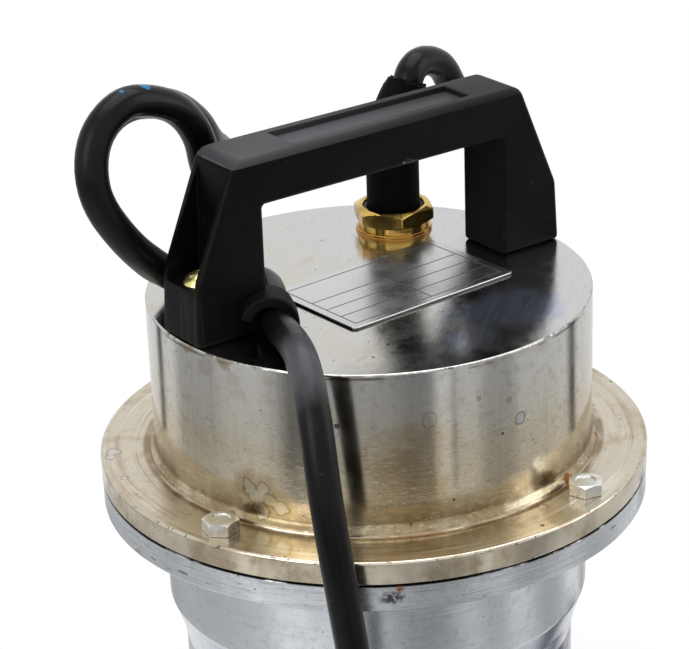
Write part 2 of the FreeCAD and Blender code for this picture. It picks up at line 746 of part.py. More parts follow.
def make_bearing(name, bore_r, outer_r, ball_r, width, z):
    pitch_r = (bore_r + outer_r) / 2
    middle = z + width / 2
    nodes[name + "_bearing_inner"] = groove_ring(
        bore_r + RUN, outer_r, ball_r, pitch_r, width, z, True)
    nodes[name + "_bearing_outer"] = groove_ring(
        bore_r, outer_r, ball_r, pitch_r, width, z, False)
    balls = around(Part.makeSphere(ball_r, point(pitch_r, 0, middle)), BALL_COUNT)
    pocket = Part.makeCylinder(ball_r + RUN, 2 * CAGE_T, point(pitch_r - CAGE_T, 0, middle),
                               point(1, 0, 0))
    pockets = around(pocket, BALL_COUNT)
    cage = ring(pitch_r + CAGE_T / 2, pitch_r - CAGE_T / 2, middle - CAGE_W / 2, middle + CAGE_W / 2)
    nodes[name + "_bearing_balls"] = group(balls + [cut_all(cage, pockets)])


def low_bearing_z():
    return HOUSING_Z + LOW_BRACKET_T


def top_bearing_z():
    return GASKET_Z - TOP_BORE_DEPTH - WAVE_SPRING_T - WAVE_SPRING_GAP - TOP_BEARING_W


def make_lower_bracket():
    top = HOUSING_Z + LOW_BRACKET_T
    plate = disc(BORE_R - FIT, HOUSING_Z, top)
    hub = disc(LOW_BEARING_R + HUB_WALL, top, top + LOW_BEARING_W)
    bracket = fused([plate, hub])
    bores = [disc(LIP_SEAL_R + RUN, HOUSING_Z, top),
             disc(LOW_BEARING_R + RUN, top, top + LOW_BEARING_W)]
    nodes["lower_bracket"] = cut_all(bracket, bores)
    nodes["lip_seal"] = ring(LIP_SEAL_R, SEAL_SEAT_R + RUN, HOUSING_Z, top)


def make_upper_bracket():
    low = GASKET_Z - TOP_BORE_DEPTH
    bracket = fused([disc(TOP_BORE_R - FIT, low, low + TOP_BRACKET_T),
                     disc(TOP_BEARING_R + HUB_WALL, top_bearing_z(), low)])
    holes = [disc(TOP_BEARING_R + RUN, top_bearing_z(), low),
             disc(TOP_BEARING_BORE_R + 2, low, low + TOP_BRACKET_T),
             disc(LEAD_HOLE_R, low, low + TOP_BRACKET_T, LEAD_X, LEAD_Y)]
    nodes["upper_bracket"] = cut_all(bracket, holes)
    spring_z = low - WAVE_SPRING_T
    wave = ring(TOP_BEARING_R - 0.4, TOP_BEARING_R - 4, spring_z, low)
    nodes["wave_spring"] = fused([wave] + around(
        block(TOP_BEARING_R - 3.6, TOP_BEARING_R - 0.8, -1.5, 1.5,
              spring_z - WAVE_SPRING_GAP, spring_z), 3))


def make_stator():
    top = STATOR_Z + STATOR_H
    core = ring(BORE_R - FIT, STATOR_BORE_R, STATOR_Z, top)
    slot = block(SLOT_R0, SLOT_R1, -SLOT_W / 2, SLOT_W / 2, STATOR_Z, top)
    mouth = block(STATOR_BORE_R - 1, SLOT_R0, -1.0, 1.0, STATOR_Z, top)
    nodes["stator_core"] = cut_all(core, around(fused([slot, mouth]), SLOT_COUNT))
    bar = block(SLOT_R0 + FIT, SLOT_R1 - FIT, -SLOT_W / 2 + FIT, SLOT_W / 2 - FIT, STATOR_Z, top)
    low_turns = turned([
        (END_TURN_R0, STATOR_Z), (END_TURN_R1, STATOR_Z), (END_TURN_R1, STATOR_Z - END_TURN_H + 5),
        (END_TURN_R1 - 5, STATOR_Z - END_TURN_H), (END_TURN_R0 + 4, STATOR_Z - END_TURN_H),
        (END_TURN_R0, STATOR_Z - END_TURN_H + 4)])
    top_turns = turned([
        (END_TURN_R0, top), (END_TURN_R1, top), (END_TURN_R1, top + END_TURN_H - 5),
        (END_TURN_R1 - 5, top + END_TURN_H), (END_TURN_R0 + 4, top + END_TURN_H),
        (END_TURN_R0, top + END_TURN_H - 4)])
    nodes["stator_windings"] = fused([low_turns, top_turns] + around(bar, SLOT_COUNT))
    rest = STATOR_Z + STATOR_H + END_TURN_H
    nodes["thermal_protector"] = disc(PROTECTOR_R, rest, rest + PROTECTOR_H, PROTECTOR_X, 0)
    wires = [disc(LEAD_R, rest, top_bracket_top(), LEAD_X + spot.x, LEAD_Y + spot.y)
             for spot in (polar(LEAD_PCR, 90 + 120 * i) for i in range(3))]
    nodes["inner_wiring"] = group(wiring + wires)


def make_rotor():
    top = STATOR_Z + STATOR_H
    rotor_r = STATOR_BORE_R - AIR_GAP
    core = ring(rotor_r, CORE_SEAT_R + RUN, STATOR_Z, top)
    holes = around(disc(BAR_R + RUN, STATOR_Z, top, BAR_PCR, 0), BAR_COUNT)
    nodes["rotor_core"] = cut_all(core, holes)
    rings = [ring(END_RING_R1, END_RING_R0, STATOR_Z - END_RING_H, STATOR_Z),
             ring(END_RING_R1, END_RING_R0, top, top + END_RING_H)]
    bars = around(disc(BAR_R, STATOR_Z, top, BAR_PCR, 0), BAR_COUNT)
    nodes["rotor_cage"] = fused(rings + bars)


def disc_top():
    return OIL_Z - CHAMBER_ROOF - IMPELLER_ROOF_GAP


def hub_bottom():
    return disc_top() - IMPELLER_HUB_H


def make_shaft():
    nut_low = hub_bottom() - CAP_WASHER_T - IMPELLER_NUT_H
    low = nut_low - THREAD_STICKOUT
    bearing_low = low_bearing_z()
    bearing_top = bearing_low + LOW_BEARING_W
    core_top = top_bearing_z()
    top = GASKET_Z - TOP_BORE_DEPTH + 3
    shaft = turned([
        (0, low), (THREAD_R - 0.7, low), (THREAD_R, low + 0.7), (THREAD_R, hub_bottom()),
        (HUB_SEAT_R, hub_bottom()), (HUB_SEAT_R, disc_top()), (SEAL_SEAT_R, disc_top()),
        (SEAL_SEAT_R, bearing_low), (LOW_BEARING_BORE_R, bearing_low),
        (LOW_BEARING_BORE_R, bearing_top), (CORE_SEAT_R, bearing_top), (CORE_SEAT_R, core_top),
        (TOP_BEARING_BORE_R, core_top), (TOP_BEARING_BORE_R, top - 0.7),
        (TOP_BEARING_BORE_R - 0.7, top), (0, top)])
    key_mid = (hub_bottom() + disc_top()) / 2
    half = KEY_W / 2
    keyway = block(HUB_SEAT_R - KEY_W / 2, HUB_SEAT_R + 1, -half - RUN, half + RUN,
                   key_mid - KEY_L / 2 - RUN, key_mid + KEY_L / 2 + RUN)
    nodes["shaft"] = shaft.cut(keyway)
    nodes["impeller_key"] = block(HUB_SEAT_R - KEY_W / 2 + RUN, HUB_SEAT_R + KEY_W / 2 - RUN,
                                  -half, half, key_mid - KEY_L / 2, key_mid + KEY_L / 2)


def make_impeller():
    top = disc_top()
    plate_low = top - IMPELLER_DISC_T
    plate = disc(IMPELLER_R, plate_low, top)
    hub = disc(IMPELLER_HUB_R, hub_bottom(), top)
    arc = ring(BLADE_BEND_R + BLADE_T / 2, BLADE_BEND_R - BLADE_T / 2, plate_low - BLADE_H,
               plate_low, BLADE_BEND_OFF, BLADE_BEND_OFF)
    reach = ring(IMPELLER_R - 1, BLADE_R0, plate_low - BLADE_H, plate_low)
    side = Part.makeBox(4 * IMPELLER_R, 4 * IMPELLER_R, BLADE_H + 2,
                        point(-2 * IMPELLER_R, 0, plate_low - BLADE_H - 1))
    side.rotate(point(0, 0, 0), UP, 45)
    blade = arc.common(reach).common(side)
    solid = fused([plate, hub] + around(blade, BLADE_COUNT))
    half = KEY_W / 2
    key_mid = (hub_bottom() + disc_top()) / 2
    bore = disc(HUB_SEAT_R + RUN, hub_bottom(), top)
    keyway = block(0, HUB_SEAT_R + KEY_W / 2, -half - RUN, half + RUN,
                   hub_bottom(), key_mid + KEY_L / 2 + RUN)
    nodes["impeller"] = cut_all(solid, [bore, keyway])
    washer_low = hub_bottom() - CAP_WASHER_T
    nodes["impeller_washer"] = ring(CAP_WASHER_R, THREAD_R + RUN, washer_low, hub_bottom())
    nut = hexagon(IMPELLER_NUT_AF, washer_low - IMPELLER_NUT_H, washer_low)
    nodes["impeller_nut"] = nut.cut(disc(THREAD_R + RUN, washer_low - IMPELLER_NUT_H, washer_low))


def make_mechanical_seal():
    top = OIL_Z + WEB_T
    nodes["seal_seat"] = ring(SEAT_R, SEAT_BORE_R, top - SEAT_H, top)
    face = top + FACE_GAP
    head_top = face + SEAL_HEAD_H
    nodes["seal_head"] = ring(SEAL_HEAD_R, SEAL_SEAT_R + RUN, face, head_top)
    clip_low = head_top + SPRING_H
    nodes["seal_circlip"] = ring(CIRCLIP_R + 1.5, SEAL_SEAT_R + RUN, clip_low, clip_low + CIRCLIP_T)
    wire_low = head_top + SPRING_WIRE_R + RUN
    rise = SPRING_H - 2 * SPRING_WIRE_R - 2 * RUN
    steps = SPRING_TURNS * SPRING_TURN_STEPS
    coil = [polar(SPRING_R, 360.0 * i / SPRING_TURN_STEPS, wire_low + rise * i / steps)
            for i in range(steps + 1)]
    nodes["seal_spring"] = tube(coil, SPRING_WIRE_R)


def make_oil_chamber():
    top = HOUSING_Z
    body = turned([
        (OIL_LOW_R, OIL_Z), (OIL_LOW_R, OIL_Z + OIL_FLANGE_T), (OIL_WAIST_R, OIL_Z + OIL_FLANGE_T),
        (OIL_WAIST_R, top - OIL_FLANGE_T), (OIL_TOP_R, top - OIL_FLANGE_T), (OIL_TOP_R, top),
        (OIL_CAVITY_R, top), (OIL_CAVITY_R, OIL_Z + WEB_T), (SEAT_R + RUN, OIL_Z + WEB_T),
        (SEAT_R + RUN, OIL_Z + WEB_T - SEAT_H), (WEB_HOLE_R, OIL_Z + WEB_T - SEAT_H),
        (WEB_HOLE_R, OIL_Z - 3), (ROOF_HOLE_R - FIT, OIL_Z - 3), (ROOF_HOLE_R - FIT, OIL_Z)])
    boss = Part.makeCylinder(PLUG_BOSS_R, PLUG_BOSS_Y - OIL_CAVITY_R - 2,
                             point(0, OIL_CAVITY_R + 2, PLUG_Z), point(0, 1, 0))
    body = fused([body, boss])
    holes = [Part.makeCylinder(PLUG_R + RUN, PLUG_BOSS_Y - OIL_CAVITY_R + 4,
                               point(0, OIL_CAVITY_R - 4, PLUG_Z), point(0, 1, 0))]
    holes += low_bolts_at(lambda x, y: disc(M6_HOLE_R, top - OIL_FLANGE_T, top, x, y))
    holes += low_bolts_at(lambda x, y: disc(M6_HOLE_R, OIL_Z, OIL_Z + OIL_FLANGE_T, x, y))
    groove = ring(TOP_RING_PCR + RING_R + FIT, TOP_RING_PCR - RING_R - FIT, top - 2 * RING_R, top)
    nodes["oil_chamber"] = cut_all(body, holes + [groove])
    nodes["o_rings"] = group([
        Part.makeTorus(TOP_RING_PCR, RING_R - RUN, point(0, 0, top - RING_R)),
        Part.makeTorus(VOLUTE_RING_PCR, RING_R - RUN, point(0, 0, OIL_Z - RING_R))])


def make_oil_plug():
    along = point(0, 1, 0)
    face = PLUG_BOSS_Y
    washer = Part.makeCylinder(PLUG_BOSS_R - 1, PLUG_WASHER_T, point(0, face, PLUG_Z), along)
    bore = Part.makeCylinder(PLUG_R + RUN, PLUG_WASHER_T, point(0, face, PLUG_Z), along)
    washers.append(washer.cut(bore))
    nodes["sealing_washers"] = group(washers)
    head = hexagon(PLUG_AF, 0, PLUG_HEAD, turn=30)
    head.rotate(point(0, 0, 0), point(1, 0, 0), -90)
    head.translate(point(0, face + PLUG_WASHER_T, PLUG_Z))
    shank = Part.makeCylinder(PLUG_R, PLUG_WASHER_T + 8, point(0, face - 8, PLUG_Z), along)
    nodes["oil_plug"] = fused([head, shank])


def make_joint_bolts():
    def head(z0, z1):
        return hexagon(M6_AF, z0, z1)

    down = low_bolts_at(lambda x, y: screw(x, y, OIL_Z + OIL_FLANGE_T, head, M6_HEAD, M6_R,
                                           OIL_FLANGE_T + LOW_BOLT_BITE))
    up = low_bolts_at(lambda x, y: screw(x, y, HOUSING_Z - OIL_FLANGE_T, head, M6_HEAD, M6_R,
                                         OIL_FLANGE_T + LOW_FLANGE_T - 2, False))
    nodes["chamber_bolts"] = group(down + up)


def pipe_x(r, x0, x1):
    z = VOLUTE_Z + (VOLUTE_H - CHAMBER_ROOF) / 2
    return Part.makeCylinder(r, x1 - x0, point(x0, DISCHARGE_Y, z), point(1, 0, 0))


def discharge_bolts_at(make):
    z = VOLUTE_Z + (VOLUTE_H - CHAMBER_ROOF) / 2
    placed = []
    for i in range(4):
        spot = polar(DISCHARGE_BOLT_PCR, 45 + 90 * i)
        placed.append(make(DISCHARGE_Y + spot.x, z + spot.y))
    return placed


def make_volute():
    roof = OIL_Z - CHAMBER_ROOF
    body = fused([disc(VOLUTE_R, VOLUTE_Z, OIL_Z),
                  disc(VOLUTE_FLANGE_R, VOLUTE_Z, VOLUTE_Z + VOLUTE_FLANGE_T),
                  disc(OIL_LOW_R, OIL_Z - VOLUTE_FLANGE_T, OIL_Z),
                  pipe_x(DISCHARGE_R, 0, DISCHARGE_X),
                  pipe_x(DISCHARGE_FLANGE_R, DISCHARGE_X - DISCHARGE_FLANGE_T, DISCHARGE_X)])
    span = block(-COVER_FLANGE_R, DISCHARGE_X, -2 * VOLUTE_R, 2 * VOLUTE_R, VOLUTE_Z, OIL_Z)
    body = body.common(span)
    holes = [disc(CHAMBER_R, VOLUTE_Z, roof), disc(ROOF_HOLE_R, roof, OIL_Z),
             pipe_x(DISCHARGE_BORE_R, 10, DISCHARGE_X)]
    holes += low_bolts_at(lambda x, y: disc(M6_R + RUN, OIL_Z - LOW_BOLT_BITE - 1, OIL_Z, x, y))
    holes += base_bolts_at(lambda x, y: disc(
        M5_R + RUN, VOLUTE_Z, VOLUTE_Z + BASE_BOLT_BITE + 1, x, y))
    holes.append(ring(VOLUTE_RING_PCR + RING_R + FIT, VOLUTE_RING_PCR - RING_R - FIT,
                      OIL_Z - 2 * RING_R, OIL_Z))
    holes += discharge_bolts_at(lambda y, z: Part.makeCylinder(
        M5_R + RUN, DISCHARGE_FLANGE_T, point(DISCHARGE_X - DISCHARGE_FLANGE_T, y, z), point(1, 0, 0)))
    nodes["volute_casing"] = cut_all(body, holes)


def make_discharge():
    z = VOLUTE_Z + (VOLUTE_H - CHAMBER_ROOF) / 2
    gasket = pipe_x(DISCHARGE_FLANGE_R - 0.5, DISCHARGE_X, DISCHARGE_X + DISCHARGE_GASKET_T)
    gasket = gasket.cut(pipe_x(DISCHARGE_BORE_R, DISCHARGE_X, DISCHARGE_X + DISCHARGE_GASKET_T))
    face = DISCHARGE_X + DISCHARGE_GASKET_T
    bend_x = face + DISCHARGE_FLANGE_T + 3
    axis_x = bend_x + ELBOW_BEND_R
    tail_z = z + ELBOW_BEND_R
    tail_top = tail_z + HOSE_TAIL_L

    def elbow(radius):
        torus = Part.makeTorus(ELBOW_BEND_R, radius, point(0, 0, 0), point(0, 1, 0))
        torus = torus.common(block(0, 3 * radius + ELBOW_BEND_R, -radius, radius,
                                   -3 * radius - ELBOW_BEND_R, 0))
        torus.translate(point(bend_x, DISCHARGE_Y, tail_z))
        return torus

    def straight(radius):
        return pipe_x(radius, face, bend_x)

    crest = HOSE_TAIL_R - HOSE_NECK
    root = HOSE_TAIL_R - HOSE_ROOT
    barbs_low = tail_z + HOSE_TAIL_BARE
    tail = [disc(crest, tail_z, barbs_low, axis_x, DISCHARGE_Y)]
    pitch = (HOSE_TAIL_L - HOSE_TAIL_BARE) / HOSE_BARB_COUNT
    for i in range(HOSE_BARB_COUNT):
        low = tail_top - (i + 1) * pitch
        barb = turned([(0, low), (crest, low), (root, low + pitch), (0, low + pitch)])
        barb.translate(point(axis_x, DISCHARGE_Y, 0))
        tail.append(barb)
    body = fused([straight(DISCHARGE_R), elbow(DISCHARGE_R),
                  pipe_x(DISCHARGE_FLANGE_R, face, face + DISCHARGE_FLANGE_T)] + tail)
    holes = [straight(DISCHARGE_BORE_R), elbow(DISCHARGE_BORE_R),
             disc(DISCHARGE_BORE_R, tail_z, tail_top, axis_x, DISCHARGE_Y)]
    holes += discharge_bolts_at(lambda y, h: Part.makeCylinder(
        M5_R + FIT, DISCHARGE_FLANGE_T, point(face, y, h), point(1, 0, 0)))
    nodes["discharge_elbow"] = cut_all(body, holes)
    nodes["discharge_gasket"] = cut_all(gasket, discharge_bolts_at(lambda y, h: Part.makeCylinder(
        M5_R + FIT, DISCHARGE_GASKET_T, point(DISCHARGE_X, y, h), point(1, 0, 0))))

    def bolt(y, h):
        seat = face + DISCHARGE_FLANGE_T
        length = 2 * DISCHARGE_FLANGE_T + DISCHARGE_GASKET_T - DISCHARGE_BOLT_SHORT
        head = hexagon(M5_HEAD_AF, 0, M5_HEAD)
        solid = fused([head, disc(M5_R, -length, 0)])
        solid.rotate(point(0, 0, 0), point(0, 1, 0), 90)
        solid.translate(point(seat, y, h))
        return solid

    m5_screws.extend(discharge_bolts_at(bolt))


def make_suction_cover():
    plate = fused([disc(VOLUTE_FLANGE_R, SUCTION_Z, VOLUTE_Z),
                   disc(CHAMBER_R - FIT, VOLUTE_Z, VOLUTE_Z + 2),
                   disc(EYE_LIP_R, SUCTION_Z - EYE_LIP_H, SUCTION_Z)])
    holes = [disc(EYE_R, SUCTION_Z - EYE_LIP_H, VOLUTE_Z + 2)]
    holes += base_bolts_at(lambda x, y: disc(M5_R + FIT, SUCTION_Z, VOLUTE_Z, x, y))
    nodes["suction_cover"] = cut_all(plate, holes)


def make_strainer():
    floor_top = STRAINER_Z + STRAINER_WALL
    rim_z = SUCTION_Z - STRAINER_RIM_T
    cup = turned([
        (0, STRAINER_Z), (STRAINER_R - 3, STRAINER_Z), (STRAINER_R, STRAINER_Z + 3),
        (STRAINER_R, rim_z), (STRAINER_RIM_R, rim_z), (STRAINER_RIM_R, SUCTION_Z),
        (STRAINER_R - STRAINER_WALL, SUCTION_Z), (STRAINER_R - STRAINER_WALL, floor_top),
        (0, floor_top)])
    bosses = feet_at(lambda x, y: disc(FOOT_BOSS_R, floor_top, floor_top + FOOT_BOSS_H, x, y))
    cup = fused([cup] + bosses)
    slot_z = STRAINER_Z + 6
    slot = block(STRAINER_R - 2 * STRAINER_WALL, STRAINER_R + 1, -STRAINER_SLOT_W / 2,
                 STRAINER_SLOT_W / 2, slot_z, slot_z + STRAINER_SLOT_H)
    holes = around(slot, STRAINER_SLOTS, 180.0 / STRAINER_SLOTS)
    holes += around(disc(STRAINER_HOLE_R, STRAINER_Z, floor_top, STRAINER_HOLE_PCR, 0), STRAINER_HOLES)
    holes += base_bolts_at(lambda x, y: disc(M5_R + FIT, rim_z, SUCTION_Z, x, y))
    holes += feet_at(lambda x, y: disc(M4_R + RUN, STRAINER_Z, floor_top + FOOT_BOSS_H - 2, x, y))
    nodes["strainer"] = cut_all(cup, holes)

    def hex_head(z0, z1):
        return hexagon(M5_HEAD_AF, z0, z1)

    m5_screws.extend(base_bolts_at(lambda x, y: screw(
        x, y, rim_z, hex_head, M5_HEAD, M5_R, STRAINER_RIM_T + SUCTION_COVER_T + BASE_BOLT_BITE, False)))
    nodes["m5_screws"] = group(m5_screws)


def make_feet():
    def foot(x, y):
        pad = turned([(FOOT_R - 1.5, 0), (FOOT_R, FOOT_H), (M4_R + FIT, FOOT_H),
                      (M4_R + FIT, FOOT_RECESS), (M4_HEAD_R + 0.6, FOOT_RECESS), (M4_HEAD_R + 0.6, 0)])
        pad.translate(point(x, y, 0))
        return pad

    def round_head(z0, z1):
        return disc(M4_HEAD_R, z0, z1)

    nodes["rubber_feet"] = group(feet_at(foot))
    m4_screws.extend(feet_at(lambda x, y: screw(
        x, y, FOOT_RECESS, round_head, M4_HEAD, M4_R,
        FOOT_H - FOOT_RECESS + STRAINER_WALL + FOOT_BOSS_H - 3, False)))


def make_electrics():
    low = top_bracket_top()
    nodes["capacitor"] = disc(CAPACITOR_R, low, low + CAPACITOR_H, CAPACITOR_X, CAPACITOR_Y)
    band_z = low + CLAMP_LIFT
    band_r = CAPACITOR_R + FIT
    band = ring(band_r + CLAMP_T, band_r, band_z, band_z + CLAMP_W, CAPACITOR_X, CAPACITOR_Y)
    edge = CAPACITOR_X + band_r
    leg = block(edge, edge + CLAMP_T, CAPACITOR_Y - CLAMP_W / 2, CAPACITOR_Y + CLAMP_W / 2,
                low, band_z + CLAMP_W)
    foot = block(edge, edge + CLAMP_FOOT, CAPACITOR_Y - CLAMP_W / 2, CAPACITOR_Y + CLAMP_W / 2,
                 low, low + CLAMP_T)
    keep_out = disc(band_r, low, band_z + CLAMP_W, CAPACITOR_X, CAPACITOR_Y)
    hole_x = edge + CLAMP_FOOT - 6
    clamp = fused([band, leg, foot]).cut(keep_out)
    nodes["capacitor_clamp"] = clamp.cut(disc(M4_R + FIT, low, low + CLAMP_T, hole_x, CAPACITOR_Y))

    def round_head(z0, z1):
        return disc(M4_HEAD_R, z0, z1)

    m4_screws.append(screw(hole_x, CAPACITOR_Y, low + CLAMP_T, round_head, M4_HEAD, M4_R, 5.0))
    nodes["m4_screws"] = group(m4_screws)
    nodes["upper_bracket"] = nodes["upper_bracket"].cut(
        disc(M4_R + RUN, low - TOP_BRACKET_T, low, hole_x, CAPACITOR_Y))
    body = block(BLOCK_X - BLOCK_L / 2, BLOCK_X + BLOCK_L / 2, BLOCK_Y - BLOCK_W / 2,
                 BLOCK_Y + BLOCK_W / 2, low, low + BLOCK_H)
    spots = [(BLOCK_X + BLOCK_PITCH * i, BLOCK_Y - BLOCK_W / 4) for i in (-1, 0, 1)]
    holes = [disc(BLOCK_SCREW_R + RUN, low + BLOCK_H - 6, low + BLOCK_H, x, y) for x, y in spots]
    keep_leads = disc(LEAD_HOLE_R, low, low + BLOCK_H, LEAD_X, LEAD_Y)
    nodes["terminal_block"] = cut_all(body, holes + [keep_leads])
    nodes["terminal_screws"] = group([
        disc(BLOCK_SCREW_R, low + BLOCK_H - 6, low + BLOCK_H - 1, x, y) for x, y in spots])


def coil_section():
    half = COIL_COLUMNS * CORD_D / 2
    return COIL_MEAN_R - half, COIL_MEAN_R + half, TIE_T, TIE_T + COIL_LAYERS * CORD_D


def make_cord():
    nodes["power_cord"] = tube(cord_points(), CORD_R, "power cord")
    r0, r1, z0, z1 = coil_section()
    edge = CORD_R
    coil = turned([(r0 + edge, z0), (r1 - edge, z0), (r1, z0 + edge), (r1, z1 - edge),
                   (r1 - edge, z1), (r0 + edge, z1), (r0, z1 - edge), (r0, z0 + edge)])
    coil.translate(point(COIL_X, COIL_Y, 0))
    nodes["cord_coil"] = coil
    tail = [point(*spot) for spot in TAIL_ROUTE]
    nodes["cord_tail"] = tube(tail, CORD_R, "tail")


def make_ties():
    r0, r1, z0, z1 = coil_section()
    gap = 0.1
    ties = []
    for angle in TIE_ANGLES:
        outer = block(r0 - TIE_T, r1 + TIE_T, -TIE_W / 2, TIE_W / 2, z0 - TIE_T, z1 + TIE_T)
        inner = block(r0 - gap, r1 + gap, -TIE_W, TIE_W, z0, z1 + gap)
        band = outer.cut(inner)
        band.rotate(point(0, 0, 0), UP, angle)
        band.translate(point(COIL_X, COIL_Y, 0))
        ties.append(band.cut(nodes["cord_coil"]))
    nodes["coil_ties"] = group(ties)


def make_plug():
    start = point(*TAIL_ROUTE[-1])
    heading = math.degrees(math.atan2(TAIL_ROUTE[-1][1] - TAIL_ROUTE[-2][1],
                                      TAIL_ROUTE[-1][0] - TAIL_ROUTE[-2][0]))
    relief = Part.makeCone(RELIEF_R0, RELIEF_R1, RELIEF_L, point(0, 0, 0), point(1, 0, 0))
    body = block(RELIEF_L, RELIEF_L + PLUG_BODY_L, -PLUG_BODY_W / 2, PLUG_BODY_W / 2,
                 -PLUG_BODY_H / 2, PLUG_BODY_H / 2)
    body = body.makeFillet(PLUG_EDGE, body.Edges)
    plug = fused([relief, body])
    face = RELIEF_L + PLUG_BODY_L
    pins = []
    for side in (-1, 1):
        pin = Part.makeCylinder(PIN_R, PIN_L, point(face, side * PIN_PITCH / 2, 0), point(1, 0, 0))
        pins.append(pin)
    for name, shape in (("cord_plug", plug), ("plug_pins", group(pins))):
        shape.rotate(point(0, 0, 0), UP, heading)
        shape.translate(start)
        nodes[name] = shape
    nodes["cord_plug"] = nodes["cord_plug"].cut(nodes["cord_tail"])


def build():
    make_head_cover()
    make_head_cover_bolts()
    make_flange_gasket()
    make_motor_housing()
    make_handle()
    make_handle_screws()
    make_nameplate()
    make_gland()
    make_cable_sleeve()
    make_inner_cable()
    make_bearing("lower", LOW_BEARING_BORE_R, LOW_BEARING_R, LOW_BALL_R, LOW_BEARING_W,
                 low_bearing_z())
    make_bearing("upper", TOP_BEARING_BORE_R, TOP_BEARING_R, TOP_BALL_R, TOP_BEARING_W,
                 top_bearing_z())
    make_lower_bracket()
    make_upper_bracket()
    make_stator()
    make_rotor()
    make_shaft()
    make_impeller()
    make_mechanical_seal()
    make_oil_chamber()
    make_oil_plug()
    make_joint_bolts()
    make_volute()
    make_discharge()
    make_suction_cover()
    make_strainer()
    make_feet()
    make_electrics()
    make_cord()
    make_ties()
    make_plug()


def export():
    os.makedirs("parts", exist_ok=True)
    for name, shape in nodes.items():
        shape.exportStep("parts/%s.step" % name)
        print("%-24s solids %2d volume %10.0f valid %s"
              % (name, len(shape.Solids), shape.Volume, shape.isValid()))


build()
export()
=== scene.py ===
import bmesh
import bpy
import math
from mathutils import Matrix, Vector


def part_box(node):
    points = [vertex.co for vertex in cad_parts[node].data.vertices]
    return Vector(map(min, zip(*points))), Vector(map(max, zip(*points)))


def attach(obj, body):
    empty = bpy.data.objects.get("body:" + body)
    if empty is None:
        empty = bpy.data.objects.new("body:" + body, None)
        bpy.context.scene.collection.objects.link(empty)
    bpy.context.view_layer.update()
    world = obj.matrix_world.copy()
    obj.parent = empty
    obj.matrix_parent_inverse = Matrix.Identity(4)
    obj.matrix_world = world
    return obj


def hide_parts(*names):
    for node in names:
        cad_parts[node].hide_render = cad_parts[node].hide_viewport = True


# Submersible pump with its cord put away. Sizes in the outlines are millimetres over the floor.

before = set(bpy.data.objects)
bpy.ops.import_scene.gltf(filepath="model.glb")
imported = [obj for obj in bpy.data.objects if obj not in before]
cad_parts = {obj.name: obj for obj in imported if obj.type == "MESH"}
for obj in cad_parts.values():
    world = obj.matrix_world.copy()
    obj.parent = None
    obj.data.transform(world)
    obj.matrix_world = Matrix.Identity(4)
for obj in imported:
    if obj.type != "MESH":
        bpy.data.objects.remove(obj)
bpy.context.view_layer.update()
scene = bpy.context.scene

MM = 0.001
FLANGE_TOP = 268.0
LID_TOP = 319.8
COVER_Z = 260.5
GASKET_Z = 260.0
HOUSING_FLANGE_Z = 251.4
HOUSING_Z = 128.0
OIL_Z = 88.0
VOLUTE_Z = 42.0
SUCTION_Z = 36.0
STRAINER_Z = 6.0
COVER_R = 70.0
COVER_FLANGE_R = 87.5
COVER_BOLTS_R = 79.0
BOLT_ANGLE = 18.3
GLAND = (35.0, 33.0)
GLAND_LOW = 309.8
GLAND_TOP = 325.9
HANDLE_HALF = 10.25
HANDLE_SCREWS_X = 62
HANDLE_SEAT_Z = LID_TOP + 17
CHAMBER_BOLTS_R = 70.0
BASE_SCREWS_R = 77.0
CORD_D = 9.8
CORD_R = CORD_D / 2
DISCHARGE_Y = -38.0
DISCHARGE_Z = 62.0
OUTLET_SCREWS_R = 30.4
BORE_R = 19.5
BEND_R = 32.0
TAIL_X = 154.0
HOSE_R = 24.4
FEET_R = 56.0
STRAINER_R = 70.0
STRAINER_IN_R = 67.5
FLOOR_HOLES_R = 34.0
STRAINER_SLOTS = 28
SLOT_HALF = 3.0
COIL = (0.0, -172.0)
COIL_R = 58.8
TIE_T = 1.2
PLATE_MIDDLE = (5.4, -6.2, LID_TOP)
PLATE_TURN = 3.4
BLUE_SPOTS = ((-67.3, 15.4, 395.2), (-75.8, 14.3, 395.7))
LEADS_BARE_Z = (285, 287)

# The camera, and where the floor turns white, in metres and degrees

CAMERA_PLACE = Vector((-0.4243, -0.5875, 0.6182))
CAMERA_AIM = Vector((-0.0065, 0.0046, 0.30584))
CAMERA_LENS = 130.62
CAMERA_ROLL = 2.066
CAMERA_SIDE = -125.8
FLOOR_FADES = (0.22, 0.34)


# Shapes

def polar(radius, degrees, z=0.0, x=0.0, y=0.0):
    a = math.radians(degrees)
    return Vector((x + radius * math.cos(a), y + radius * math.sin(a), z))


def rounded(outline, closed=True, steps=5):
    """An outline of (across, up, rounding) corners with every rounding drawn as an arc."""
    drawn = []
    count = len(outline)
    for i, corner in enumerate(outline):
        here = Vector(corner[:2])
        if len(corner) < 3 or (not closed and i in (0, count - 1)):
            drawn.append(here)
            continue
        back = Vector(outline[i - 1][:2]) - here
        ahead = Vector(outline[(i + 1) % count][:2]) - here
        half = back.angle(ahead) / 2
        trim = min(corner[2] / math.tan(half), 0.48 * back.length, 0.48 * ahead.length)
        back.normalize()
        ahead.normalize()
        radius = trim * math.tan(half)
        centre = here + (back + ahead).normalized() * (radius / math.sin(half))
        first = here + back * trim - centre
        last = here + ahead * trim - centre
        for k in range(steps + 1):
            share = k / steps
            drawn.append(centre + (first * (1 - share) + last * share).normalized() * radius)
    return drawn


def skin(bm, rings, closed=False, capped=True):
    """Faces between neighbouring rings of points."""
    rows = [[bm.verts.new(Vector(p) * MM) for p in ring] for ring in rings]
    pairs = list(zip(rows, rows[1:]))
    if closed:
        pairs.append((rows[-1], rows[0]))
    elif capped:
        bm.faces.new(rows[0])
        bm.faces.new(rows[-1])
    for low, high in pairs:
        for i in range(len(low)):
            bm.faces.new((low[i - 1], low[i], high[i], high[i - 1]))


